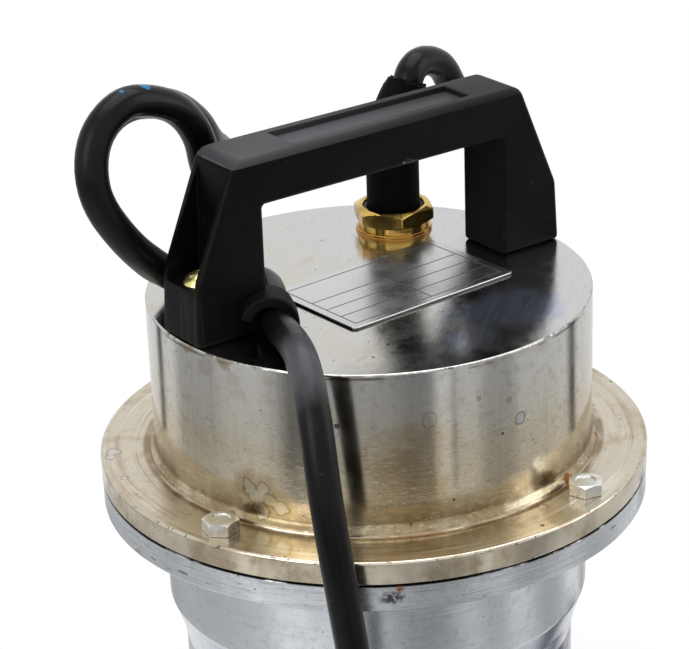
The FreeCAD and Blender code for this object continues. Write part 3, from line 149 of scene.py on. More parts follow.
def turned(bm, outline, x=0.0, y=0.0, closed=True, count=192):
    rings = [[polar(r, 360.0 * i / count, z, x, y) for i in range(count)]
             for r, z in rounded(outline, closed)]
    skin(bm, rings, closed, capped=False)


def fresh(build, *sizes, **settings):
    """A new shape made by one of the functions that add to a shape."""
    bm = bmesh.new()
    build(bm, *sizes, **settings)
    return bm


def six_sides(across_flats, corner=0.5, steps=5):
    """Points round a hexagon with softened corners."""
    arcs = []
    reach = (across_flats / 2 - corner) / math.cos(math.radians(30))
    for k in range(6):
        middle = polar(reach, 60 * k)
        arcs.append([middle + polar(corner, 60 * k - 30 + 60 * i / steps)
                     for i in range(steps + 1)])
    points = []
    for arc, following in zip(arcs, arcs[1:] + arcs[:1]):
        points += arc
        points += [arc[-1].lerp(following[0], i / 6) for i in range(1, 6)]
    return points


def hex_head(bm, across_flats, low, high, dish=0.0, bore=0.0, corner=0.5, both=False):
    """A hexagon head or nut with its corners turned off, about the upright axis."""
    outline = six_sides(across_flats, corner)
    flat = across_flats / 2 * 0.96

    def drop(p):
        return max(0.0, p.length - flat) * math.tan(math.radians(30))

    def round_ring(radius, z):
        return [p.normalized() * radius + Vector((0, 0, z)) for p in outline]

    under = [p + Vector((0, 0, low + drop(p) if both else low + 0.12)) for p in outline]
    rings = [under, [p + Vector((0, 0, high - drop(p))) for p in outline],
             round_ring(flat - 0.15, high - 0.03), round_ring(flat - 0.6, high)]
    if bore:
        rings += [round_ring(bore + 0.25, high), round_ring(bore, high - 0.25),
                  round_ring(bore, low), round_ring(flat - 0.3, low)]
        skin(bm, rings, closed=True)
    else:
        rings += [round_ring(flat * 0.66, high), round_ring(flat * 0.58, high - dish),
                  round_ring(flat * 0.1, high - dish)]
        skin(bm, [round_ring(flat - 0.3, low)] + rings)


def stations(path, count=64):
    """Rings of points square to a path of (centre, heading, radius)."""
    rings = []
    side = None
    for centre, heading, radius in path:
        heading = Vector(heading).normalized()
        if side is None:
            side = heading.orthogonal().normalized()
        side = (side - heading * side.dot(heading)).normalized()
        other = heading.cross(side)
        rings.append([Vector(centre) + side * (radius * math.cos(math.tau * i / count))
                      + other * (radius * math.sin(math.tau * i / count)) for i in range(count)])
    return rings


def headings(points):
    """The direction of travel at each point of a line."""
    points = [Vector(p) for p in points]
    ends = [points[0]] + points + [points[-1]]
    return [(after - before).normalized() for before, after in zip(ends, ends[2:])]


def rod(bm, points, radius, count=48):
    skin(bm, stations([(p, h, radius) for p, h in zip(points, headings(points))], count))


def plate_outline(length, width, corner, steps=6):
    half, side = length / 2, width / 2
    return rounded([(half, side, corner), (-half, side, corner), (-half, -side, corner),
                    (half, -side, corner)], steps=steps)


def shifted(bm, matrix):
    """Turns and moves a shape by a matrix in millimetres."""
    matrix = matrix.copy()
    matrix.translation = matrix.translation * MM
    bmesh.ops.transform(bm, matrix=matrix, verts=bm.verts)


def joined(bm, other):
    """Adds another shape to this one."""
    mesh = bpy.data.meshes.new("joined")
    other.to_mesh(mesh)
    other.free()
    bm.from_mesh(mesh)
    bpy.data.meshes.remove(mesh)


def as_object(name, bm):
    bmesh.ops.remove_doubles(bm, verts=bm.verts, dist=1e-7)
    bmesh.ops.recalc_face_normals(bm, faces=bm.faces)
    mesh = bpy.data.meshes.new(name)
    bm.to_mesh(mesh)
    bm.free()
    obj = bpy.data.objects.new(name, mesh)
    scene.collection.objects.link(obj)
    return obj


def settled(obj):
    """The object with its modifiers worked into its mesh."""
    bpy.context.view_layer.update()
    seen = obj.evaluated_get(bpy.context.evaluated_depsgraph_get())
    mesh = bpy.data.meshes.new_from_object(seen)
    obj.modifiers.clear()
    obj.data = mesh
    return obj


def put(obj, finish, nodes=(), body="casing", sharp=30.0):
    """Shades a finished mesh, gives it its finish and sets it on its body."""
    obj.data.shade_smooth()
    obj.data.set_sharp_from_angle(angle=math.radians(sharp))
    level = obj.modifiers.new("Flat faces stay flat", "WEIGHTED_NORMAL")
    level.keep_sharp = True
    settled(obj)
    obj.data.materials.clear()
    obj.data.materials.append(finish)
    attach(obj, body)
    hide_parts(*nodes)
    return obj


def piece(name, bm, finish, nodes=(), sharp=30.0):
    return put(as_object(name, bm), finish, nodes, sharp=sharp)


# Node trees, and rings of equal pieces made by one

def wired(tree, kind, inputs, **settings):
    """A new node with its settings, and with its inputs linked or filled in."""
    node = tree.nodes.new(kind)
    for name, value in settings.items():
        setattr(node, name, value)
    for socket, value in inputs.items():
        if isinstance(value, bpy.types.NodeSocket):
            tree.links.new(value, node.inputs[socket])
        else:
            node.inputs[socket].default_value = value
    return node


def worked(tree, operation, *values):
    return wired(tree, "ShaderNodeMath", dict(enumerate(values)), operation=operation).outputs[0]


def ring_tree():
    """A node group that sets equal pieces round the shaft's axis, each turned to face outwards."""
    tree = bpy.data.node_groups.new("Ring of pieces", "GeometryNodeTree")
    face = tree.interface
    face.new_socket("Geometry", in_out="INPUT", socket_type="NodeSocketGeometry")
    for label, kind in (("Piece", "Object"), ("Count", "Int"), ("Radius", "Float"),
                        ("Start angle", "Float"), ("Finish", "Material")):
        face.new_socket(label, in_out="INPUT", socket_type="NodeSocket" + kind)
    face.new_socket("Geometry", in_out="OUTPUT", socket_type="NodeSocketGeometry")
    given = tree.nodes.new("NodeGroupInput").outputs
    number = tree.nodes.new("GeometryNodeInputIndex").outputs[0]
    step = worked(tree, "DIVIDE", math.tau, given["Count"])
    angle = worked(tree, "ADD", worked(tree, "MULTIPLY", number, step), given["Start angle"])
    spot = wired(tree, "ShaderNodeCombineXYZ", {
        "X": worked(tree, "MULTIPLY", worked(tree, "COSINE", angle), given["Radius"]),
        "Y": worked(tree, "MULTIPLY", worked(tree, "SINE", angle), given["Radius"])})
    facing = wired(tree, "ShaderNodeCombineXYZ", {"Z": angle})
    points = wired(tree, "GeometryNodePoints", {
        "Count": given["Count"], "Position": spot.outputs[0]})
    shape = wired(tree, "GeometryNodeObjectInfo", {"Object": given["Piece"]})
    placed = wired(tree, "GeometryNodeInstanceOnPoints", {
        "Points": points.outputs[0], "Instance": shape.outputs["Geometry"],
        "Rotation": facing.outputs[0]})
    real = wired(tree, "GeometryNodeRealizeInstances", {0: placed.outputs[0]})
    painted = wired(tree, "GeometryNodeSetMaterial", {
        "Geometry": real.outputs[0], "Material": given["Finish"]})
    wired(tree, "NodeGroupOutput", {0: painted.outputs[0]})
    return tree


RING_OF_PIECES = ring_tree()


def ring_of(bm, one, count, radius, start, finish):
    """Adds a ring of equal pieces round the shaft's axis to a shape."""
    source = as_object("one of the ring", one)
    host = bpy.data.objects.new("ring", bpy.data.meshes.new("ring"))
    scene.collection.objects.link(host)
    modifier = host.modifiers.new("Ring", "NODES")
    modifier.node_group = RING_OF_PIECES
    values = {"Piece": source, "Count": count, "Radius": radius * MM,
              "Start angle": math.radians(start), "Finish": finish}
    for item in RING_OF_PIECES.interface.items_tree:
        if item.in_out == "INPUT" and item.name in values:
            modifier[item.identifier] = values[item.name]
    settled(host)
    bm.from_mesh(host.data)
    bpy.data.objects.remove(host)
    bpy.data.objects.remove(source)


# Finishes

class Finish:
    """A material made of textures and marks placed in the object's own metres."""

    def __init__(self, name, colour, metallic=0.0, roughness=0.5):
        self.material = bpy.data.materials.new(name)
        self.material.use_nodes = True
        self.tree = self.material.node_tree
        self.shader = self.tree.nodes["Principled BSDF"]
        self.place = self.tree.nodes.new("ShaderNodeTexCoord").outputs["Object"]
        self.x, self.y, self.z = self.node("ShaderNodeSeparateXYZ", {0: self.place}).outputs
        self.colour = (*colour, 1.0)
        for label, value in (("Base Color", self.colour), ("Metallic", metallic),
                             ("Roughness", roughness)):
            self.shader.inputs[label].default_value = value

    def node(self, kind, inputs, **settings):
        return wired(self.tree, kind, inputs, **settings)

    def feed(self, label, socket):
        self.tree.links.new(socket, self.shader.inputs[label])

    def math(self, operation, *values):
        return worked(self.tree, operation, *values)

    def chain(self, operation, values):
        result = values[0]
        for value in values[1:]:
            result = self.math(operation, result, value)
        return result

    def times(self, *values):
        return self.chain("MULTIPLY", values)

    def plus(self, *values):
        return self.chain("ADD", values)

    def either(self, *masks):
        return self.chain("MAXIMUM", masks)

    def rest(self, value):
        """What a share leaves of 1."""
        return self.math("SUBTRACT", 1.0, value)

    def off_axis(self):
        """Distance from the shaft's axis."""
        return self.math("SQRT", self.plus(self.math("POWER", self.x, 2.0),
                                           self.math("POWER", self.y, 2.0)))

    def stretched(self, x, y, z, turn=0.0):
        """The place scaled along each axis, and turned about the upright one."""
        return self.node("ShaderNodeMapping", {
            "Vector": self.place, "Rotation": (0, 0, math.radians(turn)),
            "Scale": (1 / x, 1 / y, 1 / z)}, vector_type="TEXTURE").outputs[0]

    def noise(self, scale, detail=3.0, roughness=0.5, place=None):
        return self.node("ShaderNodeTexNoise", {
            "Vector": self.place if place is None else place, "Scale": scale,
            "Detail": detail, "Roughness": roughness}).outputs["Fac"]

    def streaks(self, stretch, detail, roughness):
        return self.noise(1.0, detail, roughness, self.stretched(*stretch))

    def arcs(self, outwards, around, detail, roughness):
        """Noise that follows circles round the shaft's axis, for turned faces."""
        place = self.node("ShaderNodeCombineXYZ", {
            0: self.times(self.off_axis(), float(outwards)), 1: self.times(self.x, float(around)),
            2: self.times(self.y, float(around))}).outputs[0]
        return self.noise(1.0, detail, roughness, place)

    def specks(self, scale, size, share, place=None):
        """Round spots: cells to the metre, radius in cells, share of the cells that have one."""
        cells = self.node("ShaderNodeTexVoronoi", {
            "Vector": self.place if place is None else place, "Scale": scale}).outputs
        parts = self.node("ShaderNodeSeparateColor", {0: cells["Color"]}).outputs
        return self.times(self.math("LESS_THAN", parts[0], share),
                          self.math("LESS_THAN", cells["Distance"], self.times(parts[1], size)))

    def span(self, value, low, high, first=0.0, last=1.0, soft=True):
        """A value that goes from low to high, turned into one that goes from first to last."""
        return self.node("ShaderNodeMapRange", {
            "Value": value, "From Min": low, "From Max": high, "To Min": first, "To Max": last},
            interpolation_type="SMOOTHSTEP" if soft else "LINEAR").outputs[0]

    def band(self, value, middle, half, soft):
        """1 within half of the middle, fading over soft."""
        off = self.math("ABSOLUTE", self.math("SUBTRACT", value, middle))
        return self.span(off, half, half + soft, 1.0, 0.0)

    def over(self, value, low, high, first=1.0, last=0.0):
        """A span in millimetres, which falls from 1 to 0 where nothing else is said."""
        return self.span(value, low * MM, high * MM, first, last)

    def stripe(self, value, middle, half, soft):
        """A band in millimetres."""
        return self.band(value, middle * MM, half * MM, soft * MM)

    def within(self, value, half):
        """1 where a value is less than half, in millimetres, from 0."""
        return self.math("LESS_THAN", self.math("ABSOLUTE", value), half * MM)

    def drift(self, value, amount, scale, detail=3.0, roughness=0.5):
        """A value in metres that wanders over an amount in millimetres."""
        grain = self.math("SUBTRACT", self.noise(scale, detail, roughness), 0.5)
        return self.plus(value, self.times(grain, amount * MM))

    def from_point(self, spot, flatten=(1, 1, 1), wobble=0.0, scale=600):
        """Distance in metres from a point given in millimetres."""
        place = self.place if flatten == (1, 1, 1) else self.stretched(*flatten)
        off = self.node("ShaderNodeVectorMath", {
            0: place, 1: [c * f * MM for c, f in zip(spot, flatten)]},
            operation="DISTANCE").outputs["Value"]
        return self.drift(off, wobble, scale, 2) if wobble else off

    def blot(self, spots, wobble, scale):
        """Metres outside the nearest of some ragged spots, given as (place, radius) in mm."""
        edges = [self.math("SUBTRACT", self.from_point(spot), reach * MM) for spot, reach in spots]
        return self.drift(self.chain("MINIMUM", edges), wobble, scale)

    def paint(self, colour, *masks):
        """Lays a colour over what is there, as far as all of the masks let it."""
        self.colour = self.node("ShaderNodeMix", {
            0: self.times(*masks), 6: self.colour, 7: (*colour, 1.0)}, data_type="RGBA").outputs[2]
        self.feed("Base Color", self.colour)

    def mark(self, edge, fill, rim, amount):
        """A dried-on mark with a darker rim."""
        self.paint(fill, self.over(edge, -0.6, -0.1, amount))
        self.paint(rim, self.stripe(edge, 0.0, 0.08, 0.4), amount)

    def shine(self, value):
        self.shader.inputs["Specular IOR Level"].default_value = value

    def rough(self, value):
        self.feed("Roughness", value)

    def metal(self, value):
        self.feed("Metallic", value)

    def bump(self, height, depth, strength=1.0):
        """Relief of a depth in millimetres."""
        inputs = {"Distance": depth * MM, "Strength": strength, "Height": height}
        normal = self.shader.inputs["Normal"]
        if normal.is_linked:
            inputs["Normal"] = normal.links[0].from_socket
        self.feed("Normal", self.node("ShaderNodeBump", inputs).outputs[0])


def plated_lid(f, lid, clouds):
    """The brushed lid with its smears, scratches and nicked rim. Returns the patch of smoke and
    painted blue reflection tint.
    """
    z = f.z
    f.paint((0.565, 0.565, 0.57), lid)
    # Blue patch on the front of the lid: partly an oily smoke film, partly a painted blue tint where
    # the handle's right leg is mirrored.
    smoke_and_reflection_tint = f.blot((((21.0, -46.0, LID_TOP), 17), ((-3.0, -54.0, LID_TOP), 11),
                    ((8.0, -40.0, LID_TOP), 10)), 22, 60)
    smoke_and_reflection_tint = f.times(f.over(smoke_and_reflection_tint, -7, 3), lid)
    smoke_and_reflection_tint = f.times(smoke_and_reflection_tint, f.span(f.streaks((60, 700, 60, 40), 4, 0.7), 0.36, 0.62, 0.45, 1.0))
    f.paint((0.34, 0.39, 0.53), smoke_and_reflection_tint)
    scratched = f.span(f.streaks((110, 1900, 26, 40), 4, 0.7), 0.55, 0.66, 0.0, 0.34)
    f.paint((0.34, 0.34, 0.36), scratched, lid)
    far_left = f.times(f.over(f.x, -20, 30), lid)
    f.paint((0.57, 0.545, 0.485), f.span(clouds, 0.36, 0.6, 0.25, 0.8), far_left)
    smears = f.span(f.streaks((45, 150, 45, 20), 4, 0.65), 0.58, 0.72)
    f.paint((0.5, 0.41, 0.27), smears, far_left, 0.5)
    rim = f.times(f.stripe(z, LID_TOP - 0.35, 0.2, 0.1),
                  f.span(f.noise(190, 4, 0.7), 0.42, 0.62, 0.25, 0.9))
    f.paint((0.17, 0.16, 0.15), rim, 0.8)
    nicks = f.times(f.stripe(z, LID_TOP - 0.32, 0.27, 0.02),
                    f.span(f.noise(330, 4, 0.7), 0.56, 0.61))
    f.paint((0.09, 0.085, 0.08), nicks, 0.85)
    under_rim = f.times(f.stripe(z, LID_TOP - 1.3, 0.25, 0.25),
                        f.span(f.noise(48, 3, 0.6), 0.46, 0.56))
    f.paint((0.11, 0.1, 0.095), under_rim, 0.75)
    return smoke_and_reflection_tint


def plated_wall(f, wall, fine):
    """The mirror wall, browner towards its foot. Returns what makes it duller."""
    z = f.z
    rise = f.drift(z, 5, 70)
    broad_rise = f.drift(z, 26, 22)
    warm = f.span(broad_rise, (FLANGE_TOP + 14) * MM, (FLANGE_TOP + 50) * MM, 1.0, 0.0, soft=False)
    f.paint((0.62, 0.55, 0.405), warm, wall)
    below_tide = f.over(rise, FLANGE_TOP + 25.4, FLANGE_TOP + 27.6)
    f.paint((0.58, 0.495, 0.34), below_tide, wall, 0.32)
    tide_line = f.stripe(rise, FLANGE_TOP + 27.0, 0.1, 0.5)
    broken = f.span(f.noise(110, 3), 0.52, 0.66)
    f.paint((0.36, 0.3, 0.2), tide_line, broken, 0.4)
    worn_front = f.from_point((-33.0, -61.7, 281.0), (1, 1, 0.62), 22, 75)
    f.paint((0.47, 0.345, 0.175), f.over(worn_front, 5, 18, 0.8), wall)
    worn_right = f.blot((((56.0, -41.0, 277.0), 3), ((17.2, -67.9, 274.0), 3)), 14, 90)
    worn_right = f.times(f.over(worn_right, -1, 7, 0.6), wall)
    f.paint((0.34, 0.26, 0.14), worn_right)
    low_brown = f.over(rise, FLANGE_TOP + 2, FLANGE_TOP + 14)
    patchy = f.span(f.noise(60, 5, 0.68), 0.34, 0.6, 0.35, 1.0)
    brown = f.times(low_brown, patchy, wall)
    f.paint((0.215, 0.15, 0.07), brown, 0.92)
    f.paint((0.38, 0.345, 0.28), f.span(fine, 0.5, 0.7), wall, 0.35)
    speckled = f.streaks((380, 380, 1300), 5, 0.8)
    low_down = f.over(broad_rise, FLANGE_TOP + 20, FLANGE_TOP + 48, 0.6, 0.15)
    dulled = f.times(low_down, wall)
    f.paint((0.78, 0.74, 0.63), f.span(speckled, 0.55, 0.66), dulled)
    f.paint((0.25, 0.19, 0.11), f.span(speckled, 0.34, 0.45, 1.0, 0.0), dulled)
    streaky = f.span(f.streaks((420, 420, 30), 5, 0.7), 0.48, 0.72)
    f.paint((0.4, 0.37, 0.31), streaky, wall, 0.35)
    drips = f.over(f.drift(z, 34, 95, 4, 0.6), LID_TOP + 0.5, LID_TOP + 2.5, 0.0, 1.0)
    left_side = f.over(f.x, -64, -40, 1.0, 0.25)
    f.paint((0.3, 0.22, 0.12), drips, wall, left_side, 0.6)
    return brown, worn_right


def plated_flange(f, flange, circles):
    """The mottled flange with marks and painted glints along its turning. Returns what makes it
    duller.
    """
    f.paint((0.58, 0.525, 0.425), flange)
    blotches = f.times(flange, f.span(f.noise(70, 6, 0.7), 0.48, 0.68))
    f.paint((0.33, 0.25, 0.14), blotches, 0.62)
    dark_arcs = f.times(flange, f.span(f.arcs(430, 17, 4, 0.65), 0.53, 0.66))
    f.paint((0.3, 0.215, 0.11), dark_arcs, 0.5)
    pale_arcs = f.times(flange, f.span(f.arcs(520, 22, 3, 0.6), 0.54, 0.72))
    f.paint((0.8, 0.77, 0.69), pale_arcs, 0.55)
    # Painted glints: in patches, pale arcs along the turning stand in for highlights, with dark fine
    # arcs beside them.
    glint_and_scratch_patches = f.times(flange, f.span(f.noise(38, 4, 0.6), 0.38, 0.6, 0.2, 1.0))
    f.paint((0.88, 0.8, 0.62), f.span(circles, 0.55, 0.64), glint_and_scratch_patches, 0.42)
    f.paint((0.24, 0.175, 0.09), f.span(circles, 0.36, 0.45, 1.0, 0.0), glint_and_scratch_patches, 0.5)
    dabs = f.times(flange, f.span(f.noise(150, 6, 0.72), 0.56, 0.74))
    f.paint((0.3, 0.22, 0.12), dabs, 0.45)
    off_axis = f.off_axis()
    groove = f.stripe(off_axis, 72.6, 0.5, 1.4)
    grimy = f.times(groove, flange, f.span(f.noise(90, 4), 0.35, 0.6, 0.3, 0.9))
    f.paint((0.22, 0.14, 0.06), grimy)
    chipped = f.times(f.stripe(f.z, FLANGE_TOP - 0.5, 0.45, 0.1),
                      f.span(f.noise(420, 4, 0.7), 0.57, 0.62))
    chipped = f.times(chipped, f.math("GREATER_THAN", off_axis, 86.9 * MM))
    f.paint((0.1, 0.08, 0.055), chipped, 0.8)
    return blotches, dabs


def plated_marks(f, wall):
    """Dried-on marks, rust and pits. Returns the browned part, the rust and the pits."""
    flower = f.blot((((-65.0, -26.0, 279.8), 2.3), ((-64.0, -28.4, 277.0), 2.5),
                     ((-63.0, -30.6, 280.0), 1.9), ((-62.2, -32.2, 276.6), 2.3),
                     ((-60.4, -35.4, 274.4), 2.3), ((-63.4, -29.6, 272.6), 2.7)), 4.5, 380)
    around = f.times(f.over(flower, 0.2, 6, 0.75), wall)
    f.paint((0.33, 0.25, 0.125), around)
    f.mark(flower, (0.4, 0.375, 0.29), (0.13, 0.09, 0.04), 0.62)
    clear_rings = f.blot((((3.4, -69.9, 297.4), 1.9), ((-11.4, -69.1, 307.8), 0.5),
                          ((-0.8, -70.0, 304.6), 0.5)), 1.5, 420)
    f.mark(clear_rings, (0.46, 0.49, 0.54), (0.16, 0.135, 0.11), 0.6)
    pale_ring = f.blot((((-26.3, -64.9, 304.0), 2.3),), 2.2, 330)
    f.mark(pale_ring, (0.56, 0.54, 0.5), (0.26, 0.22, 0.16), 0.4)
    drops = f.blot((((-72.5, 41.0, FLANGE_TOP), 2.3), ((-75.0, 38.6, FLANGE_TOP), 1.6),
                    ((-79.5, 23.3, FLANGE_TOP), 1.3), ((55.0, -44.0, FLANGE_TOP), 1.9),
                    ((8.3, -74.5, FLANGE_TOP), 1.4)), 2.6, 360)
    f.mark(drops, (0.6, 0.61, 0.62), (0.24, 0.18, 0.12), 0.55)
    patches = f.blot((((-69.9, -4.5, 313.5), 2.2), ((-68.6, -12.0, 315.0), 3.4),
                      ((-66.2, -22.3, 314.0), 3.2), ((-61.5, -33.5, 315.6), 2.4)), 5.5, 150)
    f.paint((0.42, 0.38, 0.27), f.over(patches, -1.6, 0.5), 0.4)
    rusty = f.over(f.blot((((-67.4, -20.4, 268.6), 1.5), ((25.2, -67.8, 268.8), 2.5),
                           ((52.0, -49.0, 269.0), 1.3)), 2.2, 500), -0.5, 0.4)
    f.paint((0.3, 0.085, 0.018), rusty, 0.9)
    pits = f.either(f.specks(120, 0.11, 0.16), f.specks(300, 0.16, 0.12), f.specks(620, 0.2, 0.08))
    f.paint((0.07, 0.055, 0.04), pits, 0.85)
    return around, rusty, pits


def plated_cover():
    """Bright plated steel: brushed lid, mirror wall yellowed towards its foot, mottled flange."""
    f = Finish("Plated cover steel", (0.64, 0.635, 0.62), 1.0, 0.12)
    z = f.z
    lid = f.math("GREATER_THAN", z, (LID_TOP - 0.15) * MM)
    flange = f.over(z, FLANGE_TOP + 0.2, FLANGE_TOP + 0.6)
    wall = f.rest(f.either(lid, flange))
    clouds = f.noise(34, 6, 0.62)
    fine = f.noise(260, 4, 0.6)
    turning = f.streaks((26, 26, 3400), 4, 0.7)
    brushing = f.streaks((80, 3000, 60, 40), 5, 0.75)
    strokes = f.streaks((170, 1100, 60, 40), 4, 0.7)
    circles = f.arcs(2600, 26, 4, 0.7)
    smoke_and_reflection_tint = plated_lid(f, lid, clouds)
    brown, worn_right = plated_wall(f, wall, fine)
    blotches, dabs = plated_flange(f, flange, circles)
    around, rusty, pits = plated_marks(f, wall)
    # Rust and the blue patch take away some metal; on the patch this is painted haze in the dark
    # reflection.
    f.metal(f.rest(f.plus(f.times(rusty, 0.8), f.times(smoke_and_reflection_tint, 0.09))))
    f.bump(f.times(turning, wall), 0.012, 0.75)
    f.bump(f.times(brushing, lid), 0.016, 0.7)
    f.bump(f.times(strokes, lid), 0.022, 0.5)
    f.bump(f.times(circles, flange), 0.022, 0.7)
    f.bump(f.noise(1300, 3, 0.6), 0.006, 0.9)
    f.bump(f.rest(pits), 0.12, 0.6)
    base = f.plus(f.span(clouds, 0.3, 0.7, 0.04, 0.13), f.span(fine, 0.3, 0.7, 0.0, 0.05))
    base = f.plus(base, f.times(f.either(brown, around, worn_right), 0.24))
    base = f.plus(base, f.times(f.either(blotches, dabs), 0.12))
    base = f.plus(base, f.times(f.either(lid, flange), 0.05))
    f.rough(f.plus(base, f.times(rusty, 0.5)))
    return f.material


def bare_housing():
    """Machined aluminium gone dull: silvery, clouded, with turning lines and small pits."""
    f = Finish("Bare housing aluminium", (0.66, 0.685, 0.715), 1.0, 0.24)
    clouds = f.noise(34, 7, 0.68)
    grain = f.noise(420, 4, 0.6)
    turning = f.streaks((18, 18, 1500), 4, 0.7)
    f.paint((0.5, 0.525, 0.555), f.span(clouds, 0.42, 0.64, 0.0, 0.45))
    f.paint((0.76, 0.78, 0.8), f.span(f.noise(95, 5, 0.6), 0.52, 0.68, 0.0, 0.3))
    f.paint((0.34, 0.355, 0.375), f.span(grain, 0.5, 0.75, 0.0, 0.4))
    f.paint((0.38, 0.395, 0.415), f.span(turning, 0.5, 0.72, 0.0, 0.35))
    pits = f.either(f.specks(170, 0.12, 0.2), f.specks(420, 0.17, 0.13))
    f.paint((0.07, 0.07, 0.07), pits, 0.8)
    chatter = f.specks(1, 0.34, 0.45, f.stretched(110, 110, 620))
    flange = f.over(f.z, HOUSING_FLANGE_Z - 0.2, HOUSING_FLANGE_Z + 0.1, 0.0, 1.0)
    worn = f.times(chatter, flange, f.span(f.noise(42, 3), 0.5, 0.6))
    f.paint((0.09, 0.09, 0.1), worn, 0.75)
    scored = f.span(f.streaks((60, 60, 2200), 5, 0.75), 0.5, 0.66)
    f.paint((0.25, 0.26, 0.275), scored, flange, 0.55)
    # Painted shade: a near-black line at the housing's top edge, in the gap under the cover's
    # flange.
    shaded_seam = f.times(f.over(f.z, 259.45, 259.75, 0.0, 1.0),
                   f.span(f.noise(55, 4, 0.6), 0.36, 0.5, 0.2, 1.0))
    f.paint((0.012, 0.011, 0.01), shaded_seam)
    # A painted shadow of the hanging cord on the housing's flange, broken into flakes.
    painted_cord_shadow = f.from_point((-47.8, -73.1, 256.4), (1, 1, 1.5), 5, 260)
    painted_cord_shadow = f.times(f.over(painted_cord_shadow, 1.6, 4.4), f.span(f.noise(900, 4, 0.7), 0.4, 0.52, 0.25, 1.0))
    f.paint((0.018, 0.018, 0.026), painted_cord_shadow, 0.9)
    rust = f.over(f.from_point((-45.8, -74.3, 259.0), wobble=1.6), 0.3, 1.7)
    f.paint((0.33, 0.11, 0.02), rust)
    stain = f.stripe(f.from_point((-86.9, 4.0, 249.5), wobble=1.2), 3.4, 0.5, 0.6)
    f.paint((0.36, 0.3, 0.17), stain, 0.5)
    f.bump(turning, 0.03, 0.5)
    f.bump(grain, 0.02, 0.4)
    f.bump(f.rest(pits), 0.15, 0.6)
    f.rough(f.plus(f.span(clouds, 0.3, 0.7, 0.15, 0.27), f.times(grain, 0.08)))
    return f.material


def black_nylon():
    """Moulded black handle with a fine grain, light dust specks, a scraped edge, and painted light
    on its top.
    """
    f = Finish("Black nylon handle", (0.0022, 0.002, 0.0022), 0.0, 0.5)
    f.shine(0.08)
    grain = f.noise(1500, 3, 0.6)
    broad = f.noise(45, 4)
    f.paint((0.0065, 0.006, 0.0062), f.span(broad, 0.42, 0.68, 0.0, 0.5))
    dust = f.either(f.specks(210, 0.075, 0.07), f.specks(620, 0.15, 0.08))
    f.paint((0.16, 0.15, 0.14), dust, 0.5)
    f.paint((0.0105, 0.01, 0.01), f.span(grain, 0.52, 0.72, 0.0, 0.4))
    scraped = f.over(f.from_point((9.0, -HANDLE_HALF, LID_TOP + 40.2), (0.45, 1, 1.0), 2.2, 700),
                     0.4, 2.0)
    flakes = f.span(f.noise(1300, 4, 0.7), 0.5, 0.58)
    f.paint((0.34, 0.32, 0.3), scraped, flakes, 0.7)
    opening = f.within(f.x, 43)
    underside = f.times(f.stripe(f.z, LID_TOP + 39.9, 0.3, 0.5), f.span(f.noise(160, 3), 0.5, 0.6))
    f.paint((0.14, 0.12, 0.11), underside, opening, 0.35)
    drawn_down = f.span(f.streaks((420, 420, 22), 4, 0.6), 0.42, 0.66)
    low_end = f.times(f.over(f.x, -68.6, -66.8), f.over(f.z, LID_TOP + 14, LID_TOP + 17))
    f.paint((0.02, 0.019, 0.02), drawn_down, low_end, 0.6)
    # The top face is painted lighter, fading from left to right: partly dust, partly painted light
    # from the left.
    lit_top_face = f.over(f.z, LID_TOP + 52.9, LID_TOP + 53.1, 0.0, 1.0)
    fading = f.over(f.x, -62, 40, 0.95, 0.2)
    f.paint((0.062, 0.059, 0.062), lit_top_face, fading)
    # The sunk slot floor is painted lighter still as painted light, fading the same way.
    lit_slot_floor = f.times(f.stripe(f.z, LID_TOP + 53.2, 0.15, 0.1), f.within(f.y, 6.2))
    f.paint((0.1, 0.094, 0.098), lit_slot_floor, f.over(f.x, -40, 42, 0.9, 0.42))
    f.bump(grain, 0.05, 0.6)
    f.bump(f.noise(90, 2), 0.1, 0.2)
    f.rough(f.span(broad, 0.3, 0.7, 0.38, 0.52))
    return f.material


def cable_rubber():
    """Black rubber cord with a soft sheen, rub marks, a patch of dust and painted highlight at its
    front, and two small spots of blue paint.
    """
    f = Finish("Black cord rubber", (0.0028, 0.0026, 0.003), 0.0, 0.3)
    f.shine(0.15)
    broad = f.noise(28, 4)
    f.paint((0.0065, 0.0056, 0.0056), f.span(broad, 0.45, 0.7, 0.0, 0.5))
    dust = f.either(f.specks(300, 0.085, 0.12), f.specks(700, 0.14, 0.07))
    f.paint((0.2, 0.19, 0.17), dust, 0.4)
    rubbed = f.specks(1, 0.24, 0.1, f.stretched(300, 70, 90, 40))
    f.paint((0.12, 0.11, 0.1), rubbed, 0.2)
    nicked = f.over(f.from_point((-55.5, -40.5, 331.5), wobble=2.0, scale=800), 0.4, 1.9)
    f.paint((0.12, 0.115, 0.11), nicked, f.span(f.noise(1500, 3), 0.54, 0.62))
    # Lighter patch on the cord's front shoulder: partly dust, partly a painted highlight.
    dust_and_painted_highlight = f.over(f.from_point((-60.5, -50.5, 325.0), wobble=14, scale=120), 4, 20)
    f.paint((0.085, 0.08, 0.086), dust_and_painted_highlight, 0.9)
    large, small = BLUE_SPOTS
    blue = f.either(f.over(f.from_point(large, wobble=1.2, scale=500), 1.6, 2.0),
                    f.over(f.from_point(small, wobble=0.5), 0.6, 0.9))
    f.paint((0.0, 0.16, 0.27), blue)
    f.bump(f.noise(700, 3), 0.02, 0.3)
    f.bump(f.noise(60, 2), 0.12, 0.25)
    f.rough(f.span(broad, 0.3, 0.7, 0.22, 0.36))
    return f.material


